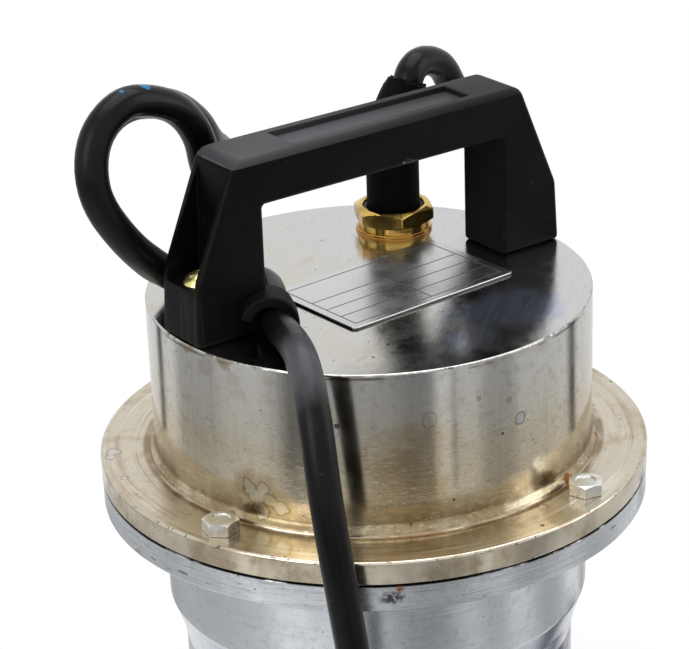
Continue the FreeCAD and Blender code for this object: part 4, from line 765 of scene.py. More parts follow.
def gland_brass():
    f = Finish("Gland brass", (0.66, 0.43, 0.11), 1.0, 0.16)
    clouds = f.noise(120, 5, 0.6)
    f.paint((0.34, 0.205, 0.04), f.span(clouds, 0.42, 0.66, 0.0, 0.7))
    grime = f.specks(420, 0.2, 0.14)
    f.paint((0.16, 0.09, 0.02), grime, 0.5)
    foot = f.over(f.z, LID_TOP + 0.7, LID_TOP + 2.0, 0.6)
    f.paint((0.36, 0.19, 0.035), foot)
    f.bump(f.streaks((120, 120, 2400), 4, 0.7), 0.02, 0.5)
    f.bump(f.noise(600, 3), 0.03, 0.4)
    f.rough(f.span(clouds, 0.3, 0.7, 0.12, 0.26))
    return f.material


def zinc_bolt():
    f = Finish("Zinc plated bolts", (0.7, 0.69, 0.66), 1.0, 0.28)
    clouds = f.noise(420, 4, 0.6)
    f.paint((0.5, 0.48, 0.44), f.span(clouds, 0.42, 0.66, 0.0, 0.6))
    spots = f.specks(1300, 0.22, 0.2)
    f.paint((0.18, 0.14, 0.1), spots, 0.6)
    f.bump(f.streaks((2600, 2600, 120), 3, 0.6), 0.03, 0.5)
    f.bump(clouds, 0.06, 0.4)
    f.rough(f.span(clouds, 0.3, 0.7, 0.2, 0.38))
    return f.material


def plate_metal():
    """Bright nameplate with a dark ruled border, an empty table, and sides painted dark as shade."""
    f = Finish("Brushed nameplate", (0.6, 0.6, 0.6), 1.0, 0.24)
    on_plate = f.node("ShaderNodeMapping", {
        "Vector": f.place, "Location": Vector(PLATE_MIDDLE) * MM,
        "Rotation": (0, 0, math.radians(PLATE_TURN))}, vector_type="TEXTURE")
    x, y, _ = f.node("ShaderNodeSeparateXYZ", {0: on_plate.outputs[0]}).outputs
    half_x, half_y, line, soft = 29.6, 16.9, 0.21, 0.06
    in_x, in_y = f.within(x, half_x + line), f.within(y, half_y + line)
    uprights = [f.stripe(f.math("ABSOLUTE", x), half_x, line, soft)]
    low = f.math("LESS_THAN", y, 4.2 * MM)
    uprights.append(f.times(f.stripe(x, 0.8, line, soft), low))
    levels = [f.stripe(f.math("ABSOLUTE", y), half_y, line, soft)]
    levels += [f.stripe(y, h, line, soft) for h in (4.2, -2.9, -9.9)]
    ruled = f.either(f.times(f.either(*uprights), in_y), f.times(f.either(*levels), in_x))
    brushed = f.streaks((50, 3000, 50, 3.4), 5, 0.7)
    f.paint((0.46, 0.46, 0.46), f.span(brushed, 0.35, 0.7, 0.0, 0.4))
    f.paint((0.02, 0.02, 0.02), ruled, 0.93)
    # Painted shade on the plate's thin sides.
    edge = f.math("LESS_THAN", f.z, (LID_TOP + 0.62) * MM)
    f.paint((0.05, 0.045, 0.04), edge, 0.9)
    smudge = f.noise(70, 4)
    f.bump(brushed, 0.012, 0.5)
    f.rough(f.plus(f.span(smudge, 0.3, 0.7, 0.23, 0.32), f.times(ruled, 0.3)))
    f.metal(f.rest(f.times(ruled, 0.9)))
    return f.material


def painted_iron():
    """Dark blue paint over rough cast iron, chipped in scattered spots."""
    f = Finish("Painted cast iron", (0.03, 0.05, 0.085), 0.0, 0.42)
    lumps = f.noise(260, 4, 0.6)
    broad = f.noise(40, 5)
    f.paint((0.045, 0.066, 0.1), f.span(broad, 0.4, 0.7, 0.0, 0.6))
    worn = f.span(f.noise(150, 6, 0.7), 0.62, 0.66)
    f.paint((0.13, 0.1, 0.08), worn, 0.75)
    f.paint((0.22, 0.09, 0.03), f.specks(240, 0.1, 0.1), 0.7)
    f.bump(lumps, 0.35, 0.5)
    f.bump(f.noise(1100, 3), 0.06, 0.4)
    f.rough(f.span(broad, 0.3, 0.7, 0.34, 0.52))
    return f.material


def plain(name, colour, second, metallic, low, high, scale=90, relief=0.05, lines=None, spots=0.0,
          shine=0.5):
    """A finish with cloudy colour, small relief, and turning or drawing lines where asked."""
    f = Finish(name, colour, metallic, low)
    f.shine(shine)
    clouds = f.noise(scale, 5, 0.62)
    f.paint(second, f.span(clouds, 0.4, 0.68, 0.0, 0.7))
    if spots:
        f.paint(tuple(c * 0.3 for c in second), f.specks(scale * 5, 0.14, 0.15), spots)
    f.bump(f.noise(scale * 9, 3), relief, 0.4)
    if lines:
        f.bump(f.streaks(lines, 4, 0.7), 0.02, 0.5)
    f.rough(f.span(clouds, 0.3, 0.7, low, high))
    return f.material


def laminated(name, colour, second):
    """Stacked sheet steel: level dark joints between thin sheets."""
    f = Finish(name, colour, 0.85, 0.42)
    sheets = f.math("FRACT", f.times(f.z, 1000.0))
    joint = f.band(sheets, 0.5, 0.14, 0.1)
    f.paint(second, f.span(f.noise(80, 5), 0.4, 0.68, 0.0, 0.8))
    f.paint((0.05, 0.045, 0.04), joint, 0.6)
    f.bump(f.rest(joint), 0.08, 0.7)
    f.rough(f.span(f.noise(200, 3), 0.3, 0.7, 0.34, 0.5))
    return f.material


def wound_copper():
    """Varnished copper wire lying round the end turns."""
    f = Finish("Varnished windings", (0.58, 0.2, 0.07), 0.9, 0.28)
    wires = f.arcs(1500, 40, 3, 0.6)
    f.paint((0.3, 0.085, 0.03), f.span(wires, 0.42, 0.6))
    f.paint((0.2, 0.06, 0.02), f.span(f.noise(60, 5), 0.5, 0.7, 0.0, 0.7))
    f.bump(wires, 0.5, 0.8)
    f.rough(f.span(f.noise(150, 3), 0.3, 0.7, 0.2, 0.4))
    return f.material


def coloured_leads():
    """Thin insulated leads, black by the cable and brown and blue further in."""
    f = Finish("Lead insulation", (0.02, 0.019, 0.02), 0.0, 0.4)
    hue = f.noise(60, 1)
    low = f.over(f.z, *LEADS_BARE_Z)
    f.paint((0.16, 0.055, 0.02), f.span(hue, 0.48, 0.5), low)
    f.paint((0.015, 0.07, 0.3), f.span(hue, 0.55, 0.57), low)
    f.bump(f.noise(900, 2), 0.02, 0.3)
    return f.material


COVER = plated_cover()
HOUSING = bare_housing()
NYLON = black_nylon()
RUBBER = cable_rubber()
BRASS = gland_brass()
ZINC = zinc_bolt()
PLATE = plate_metal()
IRON = painted_iron()
SLEEVE = plain("Black sleeve rubber", (0.0022, 0.0021, 0.0021), (0.0042, 0.004, 0.004), 0.0,
               0.55, 0.72, 70, 0.08, (60, 60, 900), 0.5, shine=0.06)
SEAL = plain("Seal rubber", (0.008, 0.008, 0.008), (0.015, 0.014, 0.014), 0.0, 0.45, 0.6,
             shine=0.25)
SHEET = plain("Gasket sheet", (0.055, 0.048, 0.042), (0.03, 0.027, 0.025), 0.0, 0.7, 0.85, 200)
YELLOW = plain("Yellow zinc screws", (0.76, 0.70, 0.26), (0.58, 0.54, 0.28), 1.0, 0.20, 0.34, 300,
               0.03, None, 0.4)
COPPER = plain("Copper washers", (0.46, 0.235, 0.05), (0.60, 0.25, 0.05), 1.0, 0.24, 0.42, 160)
STRAINER = plain("Pressed strainer steel", (0.50, 0.51, 0.52), (0.34, 0.35, 0.37), 1.0, 0.30, 0.46,
                 60, 0.05, (30, 30, 900), 0.7)
FOOT = plain("Foot rubber", (0.010, 0.010, 0.010), (0.02, 0.019, 0.018), 0.0, 0.55, 0.72, 150, 0.1,
             shine=0.25)
TIE = plain("Tie rubber", (0.045, 0.044, 0.044), (0.07, 0.068, 0.065), 0.0, 0.5, 0.65, 200, 0.06)
PLUG = plain("Plug rubber", (0.008, 0.008, 0.0085), (0.014, 0.0135, 0.0135), 0.0, 0.38, 0.52, 120,
             0.06, shine=0.3)
PIN = plain("Plug pin metal", (0.78, 0.68, 0.42), (0.66, 0.62, 0.52), 1.0, 0.18, 0.30, 300)
GROUND = plain("Ground bearing steel", (0.66, 0.66, 0.66), (0.52, 0.52, 0.53), 1.0, 0.10, 0.20,
               200, 0.01, (60, 60, 2400))
SHAFT = plain("Turned shaft steel", (0.56, 0.56, 0.57), (0.4, 0.4, 0.41), 1.0, 0.2, 0.34, 90, 0.02,
              (40, 40, 2000), 0.5)
SPRING = plain("Spring steel", (0.42, 0.42, 0.44), (0.28, 0.28, 0.30), 1.0, 0.22, 0.34, 250, 0.02)
CAST = plain("Cast aluminium", (0.58, 0.59, 0.60), (0.44, 0.45, 0.46), 1.0, 0.38, 0.55, 110, 0.2,
             None, 0.5)
CAGE = plain("Cast rotor cage", (0.66, 0.67, 0.68), (0.52, 0.53, 0.55), 1.0, 0.32, 0.48, 90, 0.1)
WET_IRON = plain("Wet cast iron", (0.13, 0.115, 0.1), (0.2, 0.1, 0.05), 0.6, 0.45, 0.65, 120, 0.35,
                 None, 0.6)
CERAMIC = plain("Seal ceramic", (0.80, 0.78, 0.70), (0.72, 0.70, 0.62), 0.0, 0.12, 0.22, 200, 0.01)
CARBON = plain("Seal carbon", (0.035, 0.035, 0.037), (0.055, 0.055, 0.058), 0.1, 0.25, 0.38, 300)
PLASTIC = plain("Terminal plastic", (0.62, 0.58, 0.48), (0.52, 0.48, 0.40), 0.0, 0.35, 0.5, 120)
CAN = plain("Capacitor case", (0.60, 0.61, 0.62), (0.50, 0.51, 0.53), 0.2, 0.30, 0.42, 100)
STRAP = plain("Strap steel", (0.52, 0.52, 0.51), (0.38, 0.38, 0.38), 1.0, 0.26, 0.4, 200)
CORE = laminated("Stator sheets", (0.40, 0.40, 0.41), (0.28, 0.25, 0.22))
ROTOR = laminated("Rotor sheets", (0.46, 0.46, 0.47), (0.34, 0.33, 0.32))
WINDING = wound_copper()
LEADS = coloured_leads()

INNER = {
    GROUND: ["lower_bearing_inner", "lower_bearing_outer", "lower_bearing_balls",
             "upper_bearing_inner", "upper_bearing_outer", "upper_bearing_balls"],
    SHAFT: ["shaft", "impeller_key", "impeller_washer", "impeller_nut"],
    SPRING: ["wave_spring", "seal_circlip", "seal_spring"],
    CAST: ["lower_bracket", "upper_bracket"],
    CAGE: ["rotor_cage"], CORE: ["stator_core"], ROTOR: ["rotor_core"], WINDING: ["stator_windings"],
    WET_IRON: ["impeller"], CERAMIC: ["seal_seat"], CARBON: ["seal_head", "thermal_protector"],
    SEAL: ["lip_seal", "o_rings"], CAN: ["capacitor"], STRAP: ["capacitor_clamp"],
    PLASTIC: ["terminal_block"], PIN: ["terminal_screws"], LEADS: ["inner_wiring"],
    BRASS: ["gland_locknut"],
}


# Head cover, gasket and motor housing

bm = fresh(turned, [(0, LID_TOP), (COVER_R, LID_TOP, 0.6), (COVER_R, FLANGE_TOP + 2.6, 2.4),
                    (71.5, FLANGE_TOP + 1.0, 0.5), (71.9, FLANGE_TOP, 0.3),
                    (COVER_FLANGE_R, FLANGE_TOP, 0.9), (COVER_FLANGE_R, COVER_Z, 0.5),
                    (63.85, COVER_Z), (63.85, 252.0, 0.4), (60.25, 252.0, 0.4), (60.25, COVER_Z),
                    (67.0, COVER_Z + 2, 1.5), (67.0, LID_TOP - 4, 2.0), (0, LID_TOP - 4)],
           closed=False, count=288)
piece("head_cover_shell", bm, COVER, ["head_cover"], sharp=35)

bm = fresh(turned, [(86.4, GASKET_Z, 0.1), (86.4, COVER_Z, 0.1), (64.15, COVER_Z),
                    (64.15, GASKET_Z)])
piece("flange_gasket_sheet", bm, SHEET, ["flange_gasket"])

bm = fresh(turned, [(87.3, GASKET_Z, 0.5), (87.3, HOUSING_FLANGE_Z, 0.7),
                    (68.2, HOUSING_FLANGE_Z, 1.6), (68.2, 217.9, 3.0), (65.2, 209.1, 12.0),
                    (63.6, 201.9, 6.0), (63.6, 138.0, 2.0), (76.0, 138.0, 1.0),
                    (76.0, HOUSING_Z, 0.6), (60.15, HOUSING_Z), (60.15, 134.0), (58.5, 134.0),
                    (58.5, 162.0), (60.15, 162.0), (60.15, 246.0), (64.0, 246.0),
                    (64.0, GASKET_Z)], count=288)
piece("motor_housing_barrel", bm, HOUSING, ["motor_housing"])


# Bolts and screws

def bolt(across_flats, head, shank_r, shank_l, dish=0.0, upwards=True, corner=0.35):
    """A hexagon screw with its seat at height 0."""
    one = fresh(hex_head, across_flats, 0, head, dish, corner=corner)
    turned(one, [(0, 0), (shank_r, 0), (shank_r, -shank_l, 0.5), (0, -shank_l)], closed=False,
           count=24)
    if not upwards:
        shifted(one, Matrix.Rotation(math.pi, 4, "X"))
    return one


def lifted(one, z):
    shifted(one, Matrix.Translation((0, 0, z)))
    return one


bm = fresh(ring_of, lifted(bolt(10, 4.0, 2.95, 18.1, dish=0.45), FLANGE_TOP), 4, COVER_BOLTS_R,
           BOLT_ANGLE, ZINC)
piece("head_cover_hex_bolts", bm, ZINC, ["head_cover_bolts"])

bm = fresh(ring_of, lifted(bolt(10, 4.0, 2.95, 20.0, 0.4), OIL_Z + 8), 4, CHAMBER_BOLTS_R, 45,
           ZINC)
ring_of(bm, lifted(bolt(10, 4.0, 2.95, 16.0, 0.4, upwards=False), HOUSING_Z - 8), 4,
        CHAMBER_BOLTS_R, 45, ZINC)
piece("chamber_hex_bolts", bm, ZINC, ["chamber_bolts"])

bm = fresh(ring_of, lifted(bolt(8, 3.5, 2.45, 17.0, 0.3, upwards=False), 33.0), 4, BASE_SCREWS_R,
           0, ZINC)
for k in range(4):
    one = bolt(8, 3.5, 2.45, 19.0, 0.3)
    spot = polar(OUTLET_SCREWS_R, 45 + 90 * k)
    shifted(one, Matrix.Translation((119.0, DISCHARGE_Y + spot.x, DISCHARGE_Z + spot.y))
            @ Matrix.Rotation(math.pi / 2, 4, "Y"))
    joined(bm, one)
piece("base_and_outlet_screws", bm, ZINC, ["m5_screws"])


# Route of the power cord from its sleeve to the coil, as (x, y, height over the cover's flange)

CORD_ROUTE = [
    (39.4, 30.9, 95.5), (40.2, 30.8, 102.2), (44.6, 32.6, 106), (51.2, 35.2, 105.9),
    (58.8, 36.7, 102.3), (63.2, 37.5, 95), (67.6, 36.7, 84), (72.4, 33, 69.5), (76.4, 26.8, 51),
    (77.4, 29.9, 31), (76.4, 33.6, 13.5), (69.1, 44.2, 6), (55.9, 58.5, 5.6), (38.2, 71.5, 6.2),
    (20.7, 79.6, 15), (7.2, 83, 34), (-1.5, 79.4, 57), (-6.5, 70.6, 79), (-28.5, 43, 93),
    (-38.3, 34.6, 105.7), (-50.6, 30.3, 115.2), (-69.1, 27.2, 119.1), (-81.7, 24, 110.9),
    (-83.4, 22.1, 93.6), (-70.1, 25.3, 73.9), (-54.5, 31.6, 59), (-43, 35, 57.5),
    (-31, 35.3, 59.2), (-24.6, 33.5, 68.5), (-29.5, 30.5, 78.5), (-38.3, 26.8, 86),
    (-43.8, 22.5, 95.5), (-46.8, 19.5, 106.3), (-54, 18, 116.5), (-64, 16.6, 121.8),
    (-75.8, 15.3, 124.3), (-87.6, 13.6, 115.8), (-89.7, 11.7, 99.3), (-78.1, 13.1, 80.8),
    (-64.3, 16.7, 67.8), (-53.7, 19.9, 59.8), (-43.5, 21.5, 57.3), (-35, 17.8, 57.3),
    (-32, 9.6, 57.3), (-36, 1, 57.3), (-43.4, -11, 57.3), (-49.4, -23, 57.6), (-54, -36, 59.5),
    (-59.5, -49.5, 59.5), (-65.2, -62.5, 48.5), (-68.2, -70.5, 25), (-66.5, -75.3, -6),
    (-63.5, -79, -42), (-60.5, -82, -88), (-59, -85, -138), (-58.5, -88, -184), (-54.5, -94, -224),
    (-37, -98.8, -250), (-10, -101.8, -261.9),
]
CLIP_CHANNEL = CORD_ROUTE[42:48]


# Handle with its cord clip

def bar(bm, outline, y0, y1):
    """A bar across Y from an outline of (x, height)."""
    skin(bm, [[(x, y, z) for x, z in outline] for y in (y0, y1)])


def smooth_line(points, cuts=6):
    """Points along a line that cuts each corner in a curve, as the cord's own line does."""
    points = [Vector(p) for p in points]
    drawn = [points[0]]
    for before, here, after in zip(points, points[1:], points[2:]):
        first, last = before.lerp(here, 0.5), here.lerp(after, 0.5)
        for k in range(cuts):
            t = k / cuts
            drawn.append(first.lerp(here, t).lerp(here.lerp(last, t), t))
    return drawn + [points[-1]]


def cut_away(obj, tools):
    for tool in tools:
        modifier = obj.modifiers.new("Cut", "BOOLEAN")
        modifier.operation = "DIFFERENCE"
        modifier.solver = "EXACT"
        modifier.object = tool
    settled(obj)
    for tool in tools:
        bpy.data.objects.remove(tool)
    return obj


def softened(obj, width, segments, limit):
    """The object with its edges sharper than a limit in degrees rounded over a width."""
    soften = obj.modifiers.new("Edges", "BEVEL")
    soften.width = width * MM
    soften.segments = segments
    soften.limit_method = "ANGLE"
    soften.angle_limit = math.radians(limit)
    soften.use_clamp_overlap = False
    soften.miter_outer = "MITER_ARC"
    return settled(obj)


def handle_bar():
    top = LID_TOP + 55.2
    grip = top - 15.5
    knee = LID_TOP + 20.2
    bm = fresh(bar, rounded([(-69.7, LID_TOP), (-68.5, knee, 7), (-54.0, top, 5), (54.0, top, 5),
                             (68.5, knee, 7), (69.7, LID_TOP), (46.2, LID_TOP), (46.2, grip, 1.2),
                             (-44.6, grip, 1.2), (-44.6, LID_TOP)]), -HANDLE_HALF, HANDLE_HALF)
    obj = softened(as_object("handle_bar", bm), 1.6, 5, 38)
    cuts = []
    for side in (-1, 1):
        pocket = [(side * 57, HANDLE_SEAT_Z), (side * 72, HANDLE_SEAT_Z),
                  (side * 72, LID_TOP + 54), (side * 55.63, LID_TOP + 54)]
        cuts.append(as_object("pocket", fresh(bar, pocket, -7.55, 7.55)))
    slot = [(-31, top - 2), (36.5, top - 2), (36.5, top + 2), (-31, top + 2)]
    cuts.append(as_object("slot", fresh(bar, slot, -6.25, 6.25)))
    channel = [(x, y, FLANGE_TOP + h) for x, y, h in CLIP_CHANNEL]
    cuts.append(as_object("channel", fresh(rod, smooth_line(channel), CORD_R + 0.35)))
    return softened(cut_away(obj, cuts), 0.4, 2, 50)


def clip_hoop(outer, bore, end, low, depth):
    """Open hoop outline, from its foot on the lid round to its free end."""
    z = LID_TOP + 5.6
    outline = [Vector((outer + 0.2, -5.6)), Vector((outer, 0))]
    outline += [polar(outer, a).xy for a in range(8, end, 8)]
    outline += [polar(outer, end).xy, polar(bore, end).xy]
    outline += [polar(bore, a).xy for a in range(end - 5, -91, -8)]
    outline += [Vector((0.4, -5.6))]
    along, across = polar(1, 60), polar(1, -30)
    centre = Vector((-50.0, -19.0, z))
    rings = [[centre + across * p.x + Vector((0, 0, p.y)) + along * d for p in outline]
             for d in (low, depth)]
    return softened(as_object("clip_hoop", fresh(skin, rings)), 0.7, 3, 50)


bm = bmesh.new()
for part in (handle_bar(), clip_hoop(8.9, 5.5, 165, 0.0, 7.0),
             clip_hoop(8.3, 5.05, 112, 6.0, 12.5)):
    bm.from_mesh(part.data)
    bpy.data.objects.remove(part)
piece("handle_moulding", bm, NYLON, ["handle"], sharp=40)


# Handle screws, nameplate, cable gland and sleeve

def oil_plug_place(y):
    """Turns an upright shape to stand out of the chamber's back with its foot at y."""
    return Matrix.Translation((0, y, OIL_Z + 20)) @ Matrix.Rotation(-math.pi / 2, 4, "X")


bm = bmesh.new()
seat = HANDLE_SEAT_Z
for side in (-1, 1):
    angles = [math.radians(d) for d in range(12, 73, 6)]
    dome = [(5.18 * math.sin(a), seat - 1.68 + 5.18 * math.cos(a)) for a in angles]
    shank = [(4.9, seat), (2.5, seat), (2.5, seat - 27), (0, seat - 27)]
    turned(bm, [(0, seat + 2.3), (0.6, seat + 2.4)] + dome + shank, side * HANDLE_SCREWS_X,
           closed=False, count=48)
piece("handle_pan_screws", bm, YELLOW, ["handle_screws"])

bm = bmesh.new()
flat = plate_outline(65.0, 39.5, 1.5)
small = plate_outline(64.7, 39.2, 1.4)
skin(bm, [[(p.x, p.y, z) for p in outline] for outline, z in
          ((small, 0.0), (flat, 0.12), (flat, 0.62), (small, 0.8))])
shifted(bm, Matrix.Translation(PLATE_MIDDLE) @ Matrix.Rotation(math.radians(PLATE_TURN), 4, "Z"))
piece("nameplate_sheet", bm, PLATE, ["nameplate"])

GX, GY = GLAND
bm = bmesh.new()
base = LID_TOP + 0.6
turned(bm, [(12.35, base, 0.1), (12.35, base + 0.8, 0.3), (11.6, base + 0.8), (11.6, base + 2.9),
            (10.4, base + 2.9), (10.4, GLAND_TOP), (8.85, GLAND_TOP), (8.85, GLAND_LOW),
            (10.0, GLAND_LOW), (10.0, base)], GX, GY, count=96)
piece("gland_turned_body", bm, BRASS, ["gland_body"])

bm = fresh(hex_head, 24.0, 323.3, 328.7, bore=10.15, corner=0.5, both=True)
shifted(bm, Matrix.Translation((GX, GY, 0)) @ Matrix.Rotation(math.radians(5), 4, "Z"))
piece("gland_hex_nut", bm, BRASS, ["gland_nut"])

bm = fresh(turned, [(10.0, GLAND_TOP), (10.0, 327.9, 0.3), (8.8, 327.9, 0.3), (8.8, GLAND_TOP)],
           GX, GY, count=64)
piece("gland_seal_ring", bm, SEAL, ["gland_seal"])

bm = fresh(turned, [(12.6, LID_TOP), (12.6, base, 0.2), (10.15, base), (10.15, LID_TOP)], GX, GY,
           count=96)
one = fresh(turned, [(8.5, 0, 0.3), (8.5, 1.2, 0.3), (4.95, 1.2), (4.95, 0)], count=48)
shifted(one, oil_plug_place(60.0))
joined(bm, one)
piece("copper_rings", bm, COPPER, ["sealing_washers"])


def cable_sleeve():
    """Tight sleeve over the cord, with its top cut ragged and leaning with the cord."""
    top = Vector((40.1, 30.6, 370.3))
    bend_z = 349.0
    straight = 8.7
    path = [((GX, GY, GLAND_LOW), (0, 0, 1), straight), ((GX, GY, 340.0), (0, 0, 1), straight),
            ((GX, GY, bend_z), (0.02, 0, 1), 8.68)]
    for k in range(1, 9):
        share = k / 8
        ease = share ** 1.4
        centre = (GX + (top.x - GX) * ease, GY + (top.y - GY) * ease,
                  bend_z + (top.z - bend_z) * share)
        radius = straight - 0.35 * share - 1.95 * share ** 2.4
        path.append((centre, (0.1 + 0.22 * share, -0.04 * share, 1), radius))
    outer = stations(path, 96)
    inner = stations([(c, h, CORD_R + 0.1) for c, h, r in path[-3:]], 96)
    for i in range(96):
        a = 360.0 * i / 96
        ragged = (0.4 * math.sin(math.radians(3 * a + 25)) + 0.3 * math.sin(math.radians(7 * a))
                  + 0.16 * math.sin(math.radians(17 * a + 60)))
        step = 0.8 if 150 < a < 215 else 0.0
        for ring in (outer[-1], inner[-1]):
            ring[i] = ring[i] + Vector((0, 0, ragged + step - 0.4))
    return fresh(skin, outer + inner[::-1])


piece("cable_sleeve_tube", cable_sleeve(), SLEEVE, ["cable_sleeve"], sharp=50)


# Oil chamber, volute, outlet elbow, suction cover, strainer and feet

bm = fresh(turned, [(78.0, OIL_Z, 0.6), (78.0, 96.0, 1.2), (58.0, 96.0, 3.5), (58.0, 120.0, 3.5),
                    (76.0, 120.0, 1.2), (76.0, HOUSING_Z, 0.6), (52.0, HOUSING_Z), (52.0, 96.0, 3),
                    (15.05, 96.0), (15.05, 90.0), (10.5, 90.0), (10.5, 85.0), (39.85, 85.0),
                    (39.85, OIL_Z)], count=224)
boss = fresh(turned, [(5.0, -6), (9.5, -6), (9.5, 0, 0.8), (5.0, 0)], count=48)
shifted(boss, oil_plug_place(60.0))
joined(bm, boss)
piece("oil_chamber_casting", bm, IRON, ["oil_chamber"])

bm = bolt(14, 5.0, 4.9, 9.0, dish=1.2, corner=0.6)
shifted(bm, oil_plug_place(61.2))
piece("oil_plug_screw", bm, ZINC, ["oil_plug"])


def pipe(bm, outer, inner, count=96):
    """A pipe wall between two paths of (centre, heading, radius)."""
    skin(bm, stations(outer, count) + stations(inner, count)[::-1], closed=True)


def along_outlet(*steps):
    """A path out along the outlet from (x, radius) steps."""
    return [((x, DISCHARGE_Y, DISCHARGE_Z), (1, 0, 0), radius) for x, radius in steps]


def up_tail(*steps):
    """A path up the hose tail from (height, radius) steps."""
    return [((TAIL_X, DISCHARGE_Y, z), (0, 0, 1), radius) for z, radius in steps]


def volute():
    bm = fresh(turned, [(84.0, VOLUTE_Z, 0.6), (84.0, 52.0, 1.5), (72.0, 52.0, 3.5),
                        (72.0, 78.0, 3.5), (78.0, 78.0, 1.2), (78.0, OIL_Z, 0.6), (40.0, OIL_Z),
                        (40.0, 82.0), (64.0, 82.0), (64.0, VOLUTE_Z)], count=224)
    outer = along_outlet((62, 25.0), (76, 25.5), (95.5, 25.5), (97.5, 26.6), (98.6, 28.6),
                         (99.0, 31.0), (99.0, 35.2), (99.3, 35.8), (99.9, 36.0), (107.4, 36.0),
                         (108.0, 35.5))
    pipe(bm, outer, along_outlet((62, BORE_R), (108.0, BORE_R)))
    return bm


piece("volute_casting", volute(), IRON, ["volute_casing"])

bm = fresh(pipe, along_outlet((108, 35.3), (108.2, 35.5), (109.8, 35.5), (110, 35.3)),
           along_outlet((108, BORE_R), (110, BORE_R)))
piece("outlet_gasket_sheet", bm, SHEET, ["discharge_gasket"])


def elbow():
    """Flanged bend with a hose tail of three barbs."""
    bend = Vector((TAIL_X - BEND_R, DISCHARGE_Y, DISCHARGE_Z + BEND_R))
    turns = [(bend + Vector((BEND_R * math.sin(a), 0, -BEND_R * math.cos(a))),
              (math.cos(a), 0, math.sin(a))) for a in (math.radians(6 * k) for k in range(16))]
    outer = along_outlet((110.0, 35.5), (110.6, 36.0), (118.2, 36.0), (118.8, 35.7),
                         (119.0, 35.2), (119.0, 30.4), (119.4, 28.4), (120.4, 26.6))
    outer += [(c, h, 25.5) for c, h in turns[:-1]] + [(*turns[-1], 24.9)]
    outer += up_tail((95.0, HOSE_R), (107.9, HOSE_R), (108.0, HOSE_R))
    for low in (108, 118, 128):
        outer += up_tail((low + 0.1, HOSE_R), (low + 9.4, 23.3), (low + 10, 23.2))
    inner = along_outlet((110.0, BORE_R)) + [(c, h, BORE_R) for c, h in turns]
    return fresh(pipe, outer, inner + up_tail((138.0, BORE_R)))


piece("outlet_elbow_casting", elbow(), IRON, ["discharge_elbow"])

bm = fresh(turned, [(84.0, SUCTION_Z, 0.5), (84.0, VOLUTE_Z, 0.5), (63.85, VOLUTE_Z),
                    (63.85, 44.0), (28.0, 44.0, 1.5), (28.0, 31.0, 1.0), (33.0, 31.0, 1.5),
                    (33.0, SUCTION_Z)], count=224)
piece("suction_cover_casting", bm, IRON, ["suction_cover"])


def strainer():
    """Pressed cup with upright slots between ribs and a ring of round holes through its floor."""
    pan = fresh(turned, [(0, STRAINER_Z), (STRAINER_R, STRAINER_Z, 3.0), (STRAINER_R, 12.0),
                         (STRAINER_IN_R, 12.0), (STRAINER_IN_R, 8.5, 1.2), (0, 8.5)], closed=False,
                count=224)
    one = fresh(turned, [(0, 5.0), (4.0, 5.0), (4.0, 9.5), (0, 9.5)], closed=False, count=48)
    pins = bmesh.new()
    ring_of(pins, one, 12, FLOOR_HOLES_R, 0.0, STRAINER)
    cup = cut_away(as_object("strainer_pan", pan), [as_object("strainer_holes", pins)])
    bm = bmesh.new()
    bm.from_mesh(cup.data)
    bpy.data.objects.remove(cup)
    turned(bm, [(84.0, SUCTION_Z, 0.4), (84.0, 33.0, 0.8), (STRAINER_R, 33.0, 1.2),
                (STRAINER_R, 29.0), (STRAINER_IN_R, 29.0), (STRAINER_IN_R, SUCTION_Z)], count=224)
    one = bmesh.new()
    half = 180.0 / STRAINER_SLOTS - math.degrees(SLOT_HALF / STRAINER_R)
    arc = [polar(STRAINER_R, -half + half * k / 4).xy for k in range(9)]
    arc += [polar(STRAINER_IN_R, half - half * k / 4).xy for k in range(9)]
    skin(one, [[(p.x, p.y, z) for p in arc] for z in (11.9, 29.1)])
    ring_of(bm, one, STRAINER_SLOTS, 0.0, 0.0, STRAINER)
    for k in range(4):
        spot = polar(FEET_R, 45 + 90 * k)
        turned(bm, [(0, 8.0), (6.0, 8.0), (6.0, 16.5, 0.8), (0, 16.5)], spot.x, spot.y,
               closed=False, count=32)
    return bm


piece("strainer_cup", strainer(), STRAINER, ["strainer"])

bm = bmesh.new()
one = fresh(turned, [(8.5, 0, 0.8), (10.0, STRAINER_Z, 0.4), (2.15, STRAINER_Z), (2.15, 3.5),
                     (4.6, 3.5), (4.6, 0, 0.3)], count=64)
ring_of(bm, one, 4, FEET_R, 45, FOOT)
piece("rubber_foot_pads", bm, FOOT, ["rubber_feet"])

bm = bmesh.new()
one = fresh(turned, [(0, 1.9), (0.8, 1.8), (1.0, 1.15, 0.2), (3.2, 1.3, 0.6), (4.0, 2.2, 0.6),
                     (4.0, 3.5), (2.0, 3.5), (2.0, 13.5), (0, 13.5)], closed=False, count=32)
ring_of(bm, one, 4, FEET_R, 45, ZINC)
one = fresh(turned, [(0, 5.2), (2.0, 5.2), (2.0, 0), (4.0, 0), (4.0, 2.0, 0.8), (0, 2.4)],
            closed=False, count=32)
clamp_low, clamp_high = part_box("capacitor_clamp")
shifted(one, Matrix.Translation((clamp_high.x / MM - 6.0, -24.0, clamp_low.z / MM + 1.2)))
joined(bm, one)
piece("round_head_screws", bm, ZINC, ["m4_screws"])


# Power cord with its coil, ties and plug

